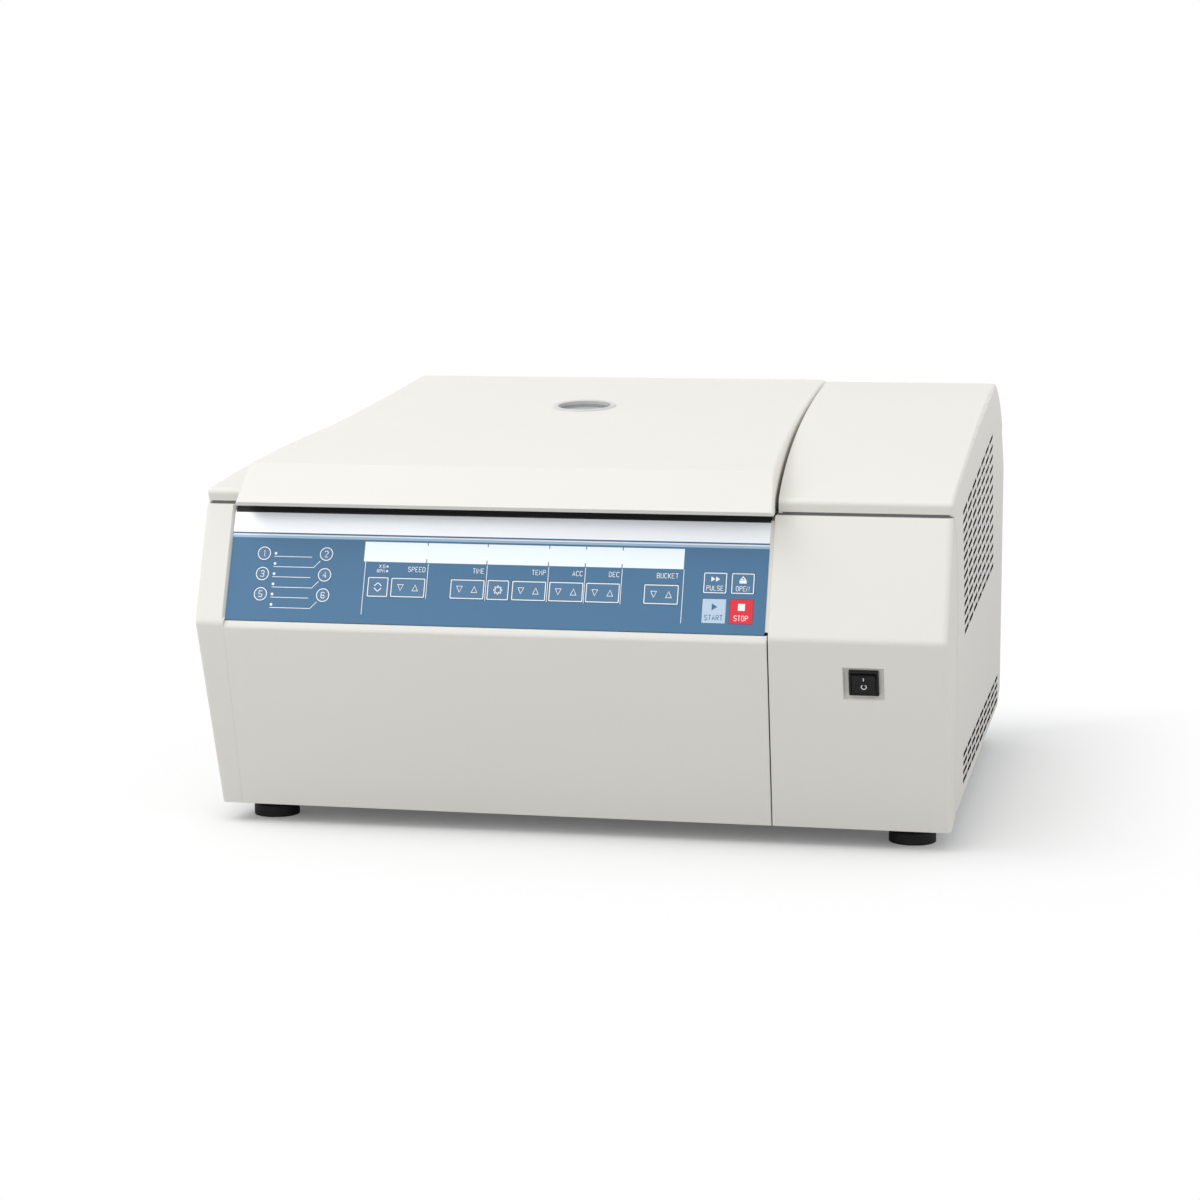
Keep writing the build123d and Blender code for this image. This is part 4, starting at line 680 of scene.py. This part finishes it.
def shape_base_pan(obj):
    """The tray's flanks lean in towards the feet, out of sight behind the skirts."""
    low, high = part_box("base_pan")
    middle_y = (low.y + high.y) / 2

    def lean(place):
        share = PAN_LEAN * (high.z - place.z) / (high.z - low.z)
        across = -share if place.x > 0 else share
        along = -share if place.y > middle_y else share
        at_side = abs(place.x) > high.x - 4 * MM
        at_end = abs(place.y - middle_y) > (high.y - low.y) / 2 - 4 * MM
        return Vector((across if at_side else 0, along if at_end else 0, 0))

    move_points(obj, lambda p: True, lean)


def shape_rear_panel(obj):
    """Lower corners of the back taken off along the kick of the side covers."""
    low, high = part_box("rear_panel")
    cut_off(obj, Vector((0, 0, low.z + CORNER_CUT)), Z_AXIS, fill=False)
    move_points(
        obj,
        lambda p: abs(p.x) > high.x - MM and p.z < low.z + MM,
        lambda p: Vector((CORNER_CUT if p.x < 0 else -CORNER_CUT, 0, 0)),
    )


def shape_foil(obj):
    """The foil runs down to the ledge with square lower corners."""
    low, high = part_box("keypad_foil")
    middle = (low.x + high.x) / 2
    for point in obj.data.vertices:
        if up_of(point.co) < FOIL_FOOT + 3.05 * MM:
            drop = LEDGE_TOP + 0.1 * MM - up_of(point.co)
            if abs(point.co.x - middle) > (high.x - low.x) / 2 - 3.1 * MM:
                point.co.x = low.x if point.co.x < middle else high.x
            point.co += FASCIA_UP * drop
    all_of(obj)
    bpy.ops.mesh.remove_doubles(threshold=0.002 * MM)
    bpy.ops.object.mode_set(mode="OBJECT")


def slot_liners(cover):
    """Thin black liners on the walls of the vent slots: painted shade inside the slots."""
    side = cad_high.x

    def slot_wall(place, normal):
        """Between skin and side, across the side, in the fields below the crown."""
        in_skin = side - VENT_SKIN + 0.2 * MM < place.x < side - 0.2 * MM
        in_field = cad_low.y + 118 * MM < place.y < cad_high.y - 30 * MM
        field_top = cad_high.z - 85 * MM + (place.y + 181 * MM) * 0.14
        return in_skin and in_field and abs(normal.x) < 0.1 and place.z < field_top

    pick_faces(cover, slot_wall)
    bpy.ops.mesh.duplicate()
    bpy.ops.mesh.separate(type="SELECTED")
    bpy.ops.object.mode_set(mode="OBJECT")
    obj = next(made for made in bpy.context.selected_objects if made is not cover)
    only(obj)
    obj = named("vent_slot_shade_liners")
    wall = obj.modifiers.new("wall", "SOLIDIFY")
    wall.thickness = 0.25 * MM
    wall.offset = 1
    bpy.ops.object.modifier_apply(modifier="wall")
    move_points(obj, lambda p: p.x > side, lambda p: Vector((side - p.x, 0, 0)))
    dress(obj, PAINTED_SHADE_BLACK)
    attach(obj, "cabinet")


# Black for the vent slots' walls and for the sheets behind them: painted shade.
PAINTED_SHADE_BLACK = moulded(
    "painted_shade_black", RUBBER, 0.9, 600.0, 0.3 * MM, 0.3, Specular_IOR_Level=0.1
)
FOIL_DEPTH = 2.5 * MM
FRONT_LEVEL = max(FASCIA_OUT.dot(point) for point in foil_points) + FOIL_DEPTH
WALL = 3.0 * MM
VENT_SKIN = 1.2 * MM
INNER_CORNER = 1.1 * MM
LEDGE_CHAMFER = 0.9 * MM
CREASE_ROUNDING = 1.6 * MM
STRIP_BEVEL = 2.8 * MM
CROWN = 10 * MM
LEDGE_TOP = 3.3 * MM
LEDGE_Z = 175 * MM
FOOT_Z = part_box("front_panel")[0].z
SEAM_LEAN = 4.0 * MM
BAND_Y = cad_high.y - 45 * MM
BAND_DRAW = 0.8 * MM
PAN_LEAN = 12 * MM
CORNER_CUT = 30 * MM
for node_name, edge, shape in (
    ("left_cover", 0.6, None),
    ("left_front_strip", 0.5, shape_left_strip),
    ("front_panel", 0.4, shape_front_panel),
    ("cooling_front_panel", 0.5, shape_bay_panel),
    ("cooling_cover", 0.25, shape_side_cover),
    ("base_pan", 0.5, shape_base_pan),
    ("rear_panel", 0.3, shape_rear_panel),
    ("keypad_foil", 0.05, shape_foil),
    ("rear_cover", 0.8, None),
    ("lid_shell", 0.5, None),
    ("fascia_panel", 0.3, None),
    ("sight_ring", 0.2, None),
    ("switch_bezel", 0.4, None),
    ("switch_rocker", 0.4, None),
    ("feet", 1.0, None),
):
    piece = finished_copy(node_name)
    # The cooling cover's slot walls get black liners: painted shade.
    if node_name == "cooling_cover":
        slot_liners(piece)
    if shape:
        shape(piece)
    round_edges(piece, edge * MM)
    stand_in(piece, node_name)


# ------------------------------------------------------------------ painted shade: dark strips in the gaps, black sheets behind the vents
def block(name, low, high, rounding, segments=3):
    """A rounded bar between two corners."""
    fresh()
    middle = (Vector(low) + Vector(high)) / 2
    bpy.ops.mesh.primitive_cube_add(size=1)
    obj = named(name)
    bpy.ops.object.mode_set(mode="EDIT")
    bpy.ops.mesh.select_all(action="SELECT")
    bpy.ops.transform.resize(value=Vector(high) - Vector(low), center_override=(0, 0, 0))
    bpy.ops.mesh.bevel(offset=rounding, segments=segments, affect="EDGES")
    bpy.ops.object.mode_set(mode="OBJECT")
    obj.data.transform(Matrix.Translation(middle))
    bpy.ops.object.shade_smooth_by_angle(angle=radians(40))
    return obj


def top_seal():
    """Black rubber strip along the fascia's top edge, under the lid's lip: painted shade for the
    dark gap there.
    """
    low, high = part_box("keypad_foil")
    left, right = low.x + MM, high.x
    lip = block("lip", (left, 95.4 * MM, -3.0 * MM), (right, 98.2 * MM, -1.9 * MM), 0.4 * MM)
    bulb = block("bulb", (left, 97.7 * MM, -9.0 * MM), (right, 101.6 * MM, -2.2 * MM), 1.5 * MM)
    obj = merge("fascia_gap_shade_strip", [lip, bulb])
    start = FASCIA_UP * FASCIA_START + FASCIA_OUT * FRONT_LEVEL
    turned_up = Matrix((X_AXIS, FASCIA_UP, FASCIA_OUT)).transposed().to_4x4()
    obj.data.transform(Matrix.Translation(start) @ turned_up)
    dress(obj, FINISHES["rubber_black"])
    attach(obj, "cabinet")


def lip_seals():
    """Grey strip in the seam under the lip of each side cover: painted shade that sets how dark the
    seam reads.
    """
    for side, node_name in (("left", "left_front_strip"), ("right", "cooling_front_panel")):
        low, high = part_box(node_name)
        front = cad_low.y + 39.8 * MM
        obj = block(
            f"{side}_lip_seam_shade",
            (low.x + 1.5 * MM, front, high.z - 1.0 * MM),
            (high.x - 1.5 * MM, front + 6 * MM, high.z + 2.5 * MM),
            0.3 * MM,
        )
        dress(obj, FINISHES["rubber_grey"])
        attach(obj, "cabinet")


def vent_mats():
    """Black sheets seated in the thinned pockets behind the slots of the bay's side: painted shade
    that darkens the view through the slots.
    """
    skin = cad_high.x - VENT_SKIN
    cover = nodes["cooling_cover"].data.vertices
    points = [point.co for point in cover if abs(point.co.x - skin) < 0.02 * MM]
    for name, front, back, bottom, top in (
        ("upper_vent_shade_sheet", -190, 185, 150, 320),
        ("lower_vent_shade_sheet", -145, 263, 32, 76),
    ):
        field = [p for p in points if front * MM < p.y < back * MM and bottom * MM < p.z < top * MM]
        corners = (
            min(field, key=lambda p: p.y - p.z),
            min(field, key=lambda p: p.y + p.z),
            max(field, key=lambda p: p.y - p.z),
            max(field, key=lambda p: p.y + p.z),
        )
        fresh()
        bpy.ops.mesh.primitive_plane_add(size=1)
        obj = named(name)
        for index, corner in zip((0, 1, 3, 2), corners):
            obj.data.vertices[index].co = (skin - 0.3 * MM, corner.y, corner.z)
        bpy.ops.object.mode_set(mode="EDIT")
        bpy.ops.mesh.select_all(action="SELECT")
        bpy.ops.mesh.inset(thickness=0.4 * MM, depth=0)
        bpy.ops.mesh.select_all(action="SELECT")
        bpy.ops.mesh.extrude_region_move(TRANSFORM_OT_translate={"value": (-4.0 * MM, 0, 0)})
        bpy.ops.mesh.select_all(action="SELECT")
        bpy.ops.mesh.normals_make_consistent(inside=False)
        bpy.ops.object.mode_set(mode="OBJECT")
        dress(obj, PAINTED_SHADE_BLACK)
        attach(obj, "cabinet")


top_seal()
lip_seals()
vent_mats()

# ------------------------------------------------------------------ keypad print
LINE = 0.75 * MM
FINE_LINE = 0.5 * MM


def arrow(name, x, up, upward):
    """A small outlined triangle, pointing up or down."""
    tip = (2.5 if upward else -2.5) * MM
    corners = [(x - 2.35 * MM, up - tip), (x + 2.35 * MM, up - tip), (x, up + tip)]
    return inked(name, [corners], 0.95 * MM, closed=True)


def rocker_print(key, left, right, up):
    """Frame and the two arrows of a rocking key field."""
    low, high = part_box(key + "_rocker_key")
    x = (low.x + high.x) / 2
    frame_line = polygon("frame", 4, high.x - low.x - 0.3 * MM, 16.0 * MM, LINE, 0.9 * MM)
    pieces = [
        shifted(frame_line, x, up),
        arrow("down", left, up, False),
        arrow("up", right, up, True),
    ]
    mark = merge(key + "_key_print", pieces)
    on_fascia(mark, key + "_rocker_key", key + "_pad", INK_WHITE)


for key, left, right in (
    ("speed", -137.2, -124.8),
    ("time", -87.4, -74.9),
    ("temperature", -36.0, -23.6),
    ("acceleration", -5.0, 7.6),
    ("braking", 25.2, 37.8),
    ("bucket", 73.4, 85.8),
):
    rocker_print(key, left * MM, right * MM, 34.4 * MM)

program_keys = (
    (-256.2, 60.5),
    (-202.6, 61.0),
    (-256.2, 43.2),
    (-202.6, 43.4),
    (-256.2, 26.0),
    (-202.6, 26.3),
)
for number, (x, up) in enumerate(program_keys, start=1):
    circle = polygon("circle", 40, 11.4 * MM, 11.4 * MM, LINE)
    digit = lettering("digit", str(number), 5.0 * MM, 0.85)
    pieces = [shifted(circle, x * MM, up * MM), shifted(digit, x * MM, up * MM)]
    on_fascia(
        merge(f"program_{number}_key_print", pieces),
        f"program_key_{number}",
        f"program_{number}_pad",
        INK_WHITE,
    )


def key_frame(key, x, up):
    """Printed outline just inside the edge of a single key field."""
    low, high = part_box(key)
    tall = (high.z - low.z - 0.4 * MM) / FASCIA_UP.z
    return shifted(polygon("frame", 4, high.x - low.x - 0.3 * MM, tall, LINE, 0.9 * MM), x, up)


def unit_print():
    """Two chevrons, one up and one down."""
    x, up = -156.4 * MM, 34.4 * MM
    pieces = [key_frame("unit_key", x, up)]
    for way in (1, -1):
        tip = (x, up + way * 3.6 * MM)
        for side in (1, -1):
            foot = (x + side * 2.9 * MM, up + way * 1.0 * MM)
            pieces.append(stroke("chevron", tip, foot, LINE))
    on_fascia(merge("unit_key_print", pieces), "unit_key", "unit_pad", INK_WHITE)


def precool_print():
    """A toothed ring."""
    x, up = -55.1 * MM, 34.4 * MM
    edge = []
    for tooth in range(8):
        for share, radius in ((-0.34, 2.2), (-0.16, 3.5), (0.16, 3.5), (0.34, 2.2)):
            turn = (tooth + share) * pi / 4
            edge.append((radius * MM * cos(turn), radius * MM * sin(turn)))
    ring = inked("ring", [edge], 0.75 * MM, closed=True)
    mark = merge("precool_key_print", [key_frame("precool_key", x, up), shifted(ring, x, up)])
    on_fascia(mark, "precool_key", "precool_pad", INK_WHITE)


def pulse_print():
    x, up = 122.9 * MM, 45.0 * MM
    pieces = [key_frame("pulse_key", x, up)]
    for step in (-1.9, 1.9):
        mark = polygon("mark", 3, 4.8 * MM, 4.4 * MM, turn=-pi / 2)
        pieces.append(shifted(mark, x + (step - 0.3) * MM, up + 3.2 * MM))
    word = lettering("word", "PULSE", 3.8 * MM)
    pieces.append(shifted(word, x, up - 4.2 * MM))
    on_fascia(merge("pulse_key_print", pieces), "pulse_key", "pulse_pad", INK_WHITE)


def open_print():
    x, up = 145.3 * MM, 45.0 * MM
    roof = polygon("roof", 3, 6.4 * MM, 4.6 * MM, LINE)
    bar = polygon("bar", 4, 5.8 * MM, 2.4 * MM)
    word = lettering("word", "OPEN", 3.8 * MM)
    pieces = [
        key_frame("open_key", x, up),
        shifted(roof, x, up + 3.9 * MM),
        shifted(bar, x, up + 1.3 * MM),
        shifted(word, x, up - 4.2 * MM),
    ]
    on_fascia(merge("open_key_print", pieces), "open_key", "open_pad", INK_WHITE)


def start_print():
    x, up = 123.2 * MM, 22.0 * MM
    mark = polygon("mark", 3, 6.6 * MM, 6.0 * MM, turn=-pi / 2)
    word = lettering("word", "START", 4.1 * MM)
    pieces = [shifted(mark, x - 0.4 * MM, up + 3.4 * MM), shifted(word, x, up - 5.4 * MM)]
    on_fascia(merge("start_key_print", pieces), "start_key", "start_pad", INK_BLUE)


def stop_print():
    x, up = 145.3 * MM, 22.0 * MM
    mark = polygon("mark", 4, 5.6 * MM, 5.6 * MM)
    word = lettering("word", "STOP", 4.1 * MM)
    pieces = [shifted(mark, x, up + 3.6 * MM), shifted(word, x, up - 5.4 * MM)]
    on_fascia(merge("stop_key_print", pieces), "stop_key", "stop_pad", INK_WHITE)


def switch_print():
    """The line and the ring of the power rocker, each laid on its own part of the dished face."""
    low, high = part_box("switch_rocker")
    middle = (low.x + high.x) / 2
    ring = [(2.0 * MM * cos(step * pi / 12), 2.0 * MM * sin(step * pi / 12)) for step in range(24)]
    marks = (
        (inked("on", [[(0, -1.7 * MM), (0, 1.7 * MM)]], 0.8 * MM), 0.27),
        (inked("off", [ring], 0.75 * MM, closed=True), 0.66),
    )
    rocker = nodes["switch_rocker"].data
    for mark, share in marks:
        height = high.z - share * (high.z - low.z)
        front = [face for face in rocker.polygons if face.normal.y < -0.6]
        face = min(front, key=lambda made: abs(made.center.z - height))
        up = face.normal.cross(X_AXIS)
        up = up if up.z > 0 else -up
        place = Vector((middle, face.center.y, face.center.z)) + face.normal * 0.15 * MM
        laid = Matrix((X_AXIS, up, face.normal)).transposed().to_4x4()
        mark.data.transform(Matrix.Translation(place) @ laid)
    obj = merge("switch_marks", [mark for mark, share in marks])
    dress(obj, INK_WHITE)
    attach(obj, "rocker")


switch_print()
unit_print()
precool_print()
pulse_print()
open_print()
start_print()
stop_print()


def foil_lines():
    """Dividers, program lines and lamp dots printed on the foil itself."""
    pieces = []
    for x, low in ((-168.5, 11.2), (97.0, 11.5)):
        pieces.append(stroke("divider", (x * MM, low * MM), (x * MM, 55.2 * MM), FINE_LINE))
    for x in (-115.2, -65.5, -14.2, 16.3, 46.5):
        pieces.append(stroke("separator", (x * MM, 25.7 * MM), (x * MM, 54.6 * MM), FINE_LINE))
    row = 17.3
    for pair in range(3):
        up = 58.1 - row * pair
        left = -247.2 * MM
        pieces.append(stroke("line", (left, up * MM), (-214.9 * MM, up * MM), FINE_LINE))
        low = up - 8.7
        bend = (-212.6 * MM, low * MM)
        pieces.append(stroke("line", (left, low * MM), bend, FINE_LINE))
        pieces.append(stroke("line", bend, (-207.4 * MM, (low + 5.6) * MM), FINE_LINE))
        for lamp in (up + 2.6, low + 2.6):
            dot = polygon("lamp", 20, 2.3 * MM, 2.3 * MM)
            pieces.append(shifted(dot, -246.2 * MM, lamp * MM))
    return merge("foil_line_print", pieces)


def foil_words():
    """Function words over the key fields."""
    pieces = []
    for words, right in (
        ("SPEED", -117.5),
        ("TIME", -68.0),
        ("TEMP", -16.6),
        ("ACC", 14.0),
        ("DEC", 44.2),
        ("BUCKET", 92.6),
    ):
        word = lettering("word", words, 3.9 * MM, 0.78, "RIGHT")
        pieces.append(shifted(word, right * MM, 49.9 * MM))
    for words, up in (("X G", 51.8), ("RPM", 47.9)):
        word = lettering("word", words, 2.7 * MM, 0.9, "RIGHT")
        pieces.append(shifted(word, -151.6 * MM, up * MM))
        lamp = polygon("lamp", 4, 1.5 * MM, 1.5 * MM)
        pieces.append(shifted(lamp, -149.6 * MM, up * MM))
    return merge("foil_word_print", pieces)


def window_ticks():
    """Short marks that divide the display, at its top and bottom edge."""
    pieces = []
    for x in (-116.8, -66.1, -14.7, 15.8, 46.1):
        pieces.append(stroke("tick", (x * MM, 70.2 * MM), (x * MM, 72.3 * MM), LINE))
        pieces.append(stroke("tick", (x * MM, 55.8 * MM), (x * MM, 58.6 * MM), LINE))
    return merge("display_ticks", pieces)


on_fascia(foil_lines(), "keypad_foil", "cabinet", INK_WHITE)
on_fascia(foil_words(), "keypad_foil", "cabinet", INK_WHITE)
on_fascia(window_ticks(), "display_window", "cabinet", INK_BLUE)


# ------------------------------------------------------------------ studio
def grey(level):
    return (level, level, level, 1)


def studio():
    """White backdrop, pale floor that keeps the shadow, soft light from above on the left."""
    world = bpy.data.worlds.new("studio")
    bpy.context.scene.world = world
    world.use_nodes = True
    tree = world.node_tree
    tree.nodes.clear()
    rays = tree.nodes.new("ShaderNodeLightPath")
    shown = None
    for ray in ("Is Camera Ray", "Is Glossy Ray", "Is Transmission Ray"):
        seen = tree.nodes.new("ShaderNodeMath")
        seen.operation = "MAXIMUM"
        tree.links.new(rays.outputs[ray], seen.inputs[0])
        if shown:
            tree.links.new(shown.outputs[0], seen.inputs[1])
        shown = seen
    sky = tree.nodes.new("ShaderNodeBackground")
    sky.inputs["Color"].default_value = (0.97, 0.985, 1.0, 1)
    sky.inputs["Strength"].default_value = SKY_STRENGTH
    backdrop = tree.nodes.new("ShaderNodeBackground")
    backdrop.inputs["Color"].default_value = (1, 1, 1, 1)
    backdrop.inputs["Strength"].default_value = 1.0
    mix = tree.nodes.new("ShaderNodeMixShader")
    output = tree.nodes.new("ShaderNodeOutputWorld")
    tree.links.new(shown.outputs[0], mix.inputs[0])
    tree.links.new(sky.outputs[0], mix.inputs[1])
    tree.links.new(backdrop.outputs[0], mix.inputs[2])
    tree.links.new(mix.outputs[0], output.inputs[0])

    fresh()
    bpy.ops.mesh.primitive_plane_add(size=9)
    floor = named("studio_floor")
    finish = Finish("studio_floor", Specular_IOR_Level=0.1)
    camera_ray = finish.node("LightPath", output=0)
    finish.colour(finish.blend(camera_ray, grey(FLOOR_BOUNCE), grey(FLOOR_SEEN)))
    finish.rough(0.85 + 0.05 * finish.noise(8.0))
    glow = finish.node("Emission", {}, {"Color": (1, 1, 1, 1), "Strength": FLOOR_GLOW})
    lit = finish.node("AddShader", {}, {0: Value(finish, finish.shader.outputs[0]), 1: glow})
    white = finish.node("Emission", {}, {"Color": (1, 1, 1, 1), "Strength": 1.0})
    across = finish.node("Math", {"operation": "ABSOLUTE"}, {0: finish.axis("X")})
    along = finish.node("Math", {"operation": "ABSOLUTE"}, {0: finish.axis("Y")})
    away = finish.node("Math", {"operation": "MAXIMUM"}, {0: across, 1: along})
    far = finish.node("MapRange", {}, {0: away, 1: FLOOR_NEAR, 2: FLOOR_FAR, 3: 0.0, 4: 1.0})
    lit = finish.node("MixShader", {}, {0: far, 1: lit, 2: white})
    plain = Value(finish, finish.shader.outputs[0])
    shown = finish.node("MixShader", {}, {0: camera_ray, 1: plain, 2: lit})
    output = next(made for made in finish.tree.nodes if made.type == "OUTPUT_MATERIAL")
    finish.feed(output.inputs[0], shown)
    dress(floor, finish.material)

    for name, place, size, energy in (
        ("key_light", (-2.1, -1.2, 3.3), 2.4, KEY_ENERGY),
        ("fill_light", (3.0, -1.3, 0.8), 2.4, FILL_ENERGY),
        ("front_light", (-1.3, -2.9, 1.2), 1.6, FRONT_ENERGY),
    ):
        light = bpy.data.lights.new(name, "AREA")
        light.size = size
        light.energy = energy
        lamp = bpy.data.objects.new(name, light)
        bpy.context.scene.collection.objects.link(lamp)
        lamp.location = place
        towards = Vector((0, 0, 0.15)) - Vector(place)
        lamp.rotation_euler = towards.to_track_quat("-Z", "Y").to_euler()


def camera():
    """Level with the keypad, a little to the right of the front."""
    lens = bpy.data.cameras.new("front_right")
    lens.sensor_width = 36.0
    lens.lens = FOCAL_PIXELS / FRAME_PIXELS * 36.0
    lens.shift_x = CAMERA_SHIFT
    seen = bpy.data.objects.new("front_right", lens)
    bpy.context.scene.collection.objects.link(seen)
    seen.location = CAMERA_PLACE
    seen.rotation_euler = (radians(90 - CAMERA_DIP), 0, radians(CAMERA_TURN))
    bpy.context.scene.camera = seen


SKY_STRENGTH = 0.60
FLOOR_GLOW = 0.10
FLOOR_BOUNCE = 0.52
FLOOR_SEEN = 0.86
FLOOR_NEAR = 0.32
FLOOR_FAR = 0.52
KEY_ENERGY = 43.0
FILL_ENERGY = 16.0
FRONT_ENERGY = 15.0
FRAME_PIXELS = 1200
FOCAL_PIXELS = 2814.5
CAMERA_SHIFT = -0.00375
CAMERA_PLACE = (0.502, -2.484, 0.492)
CAMERA_DIP = 7.29
CAMERA_TURN = 12.05

studio()
camera()
bpy.context.scene.view_settings.view_transform = "Standard"
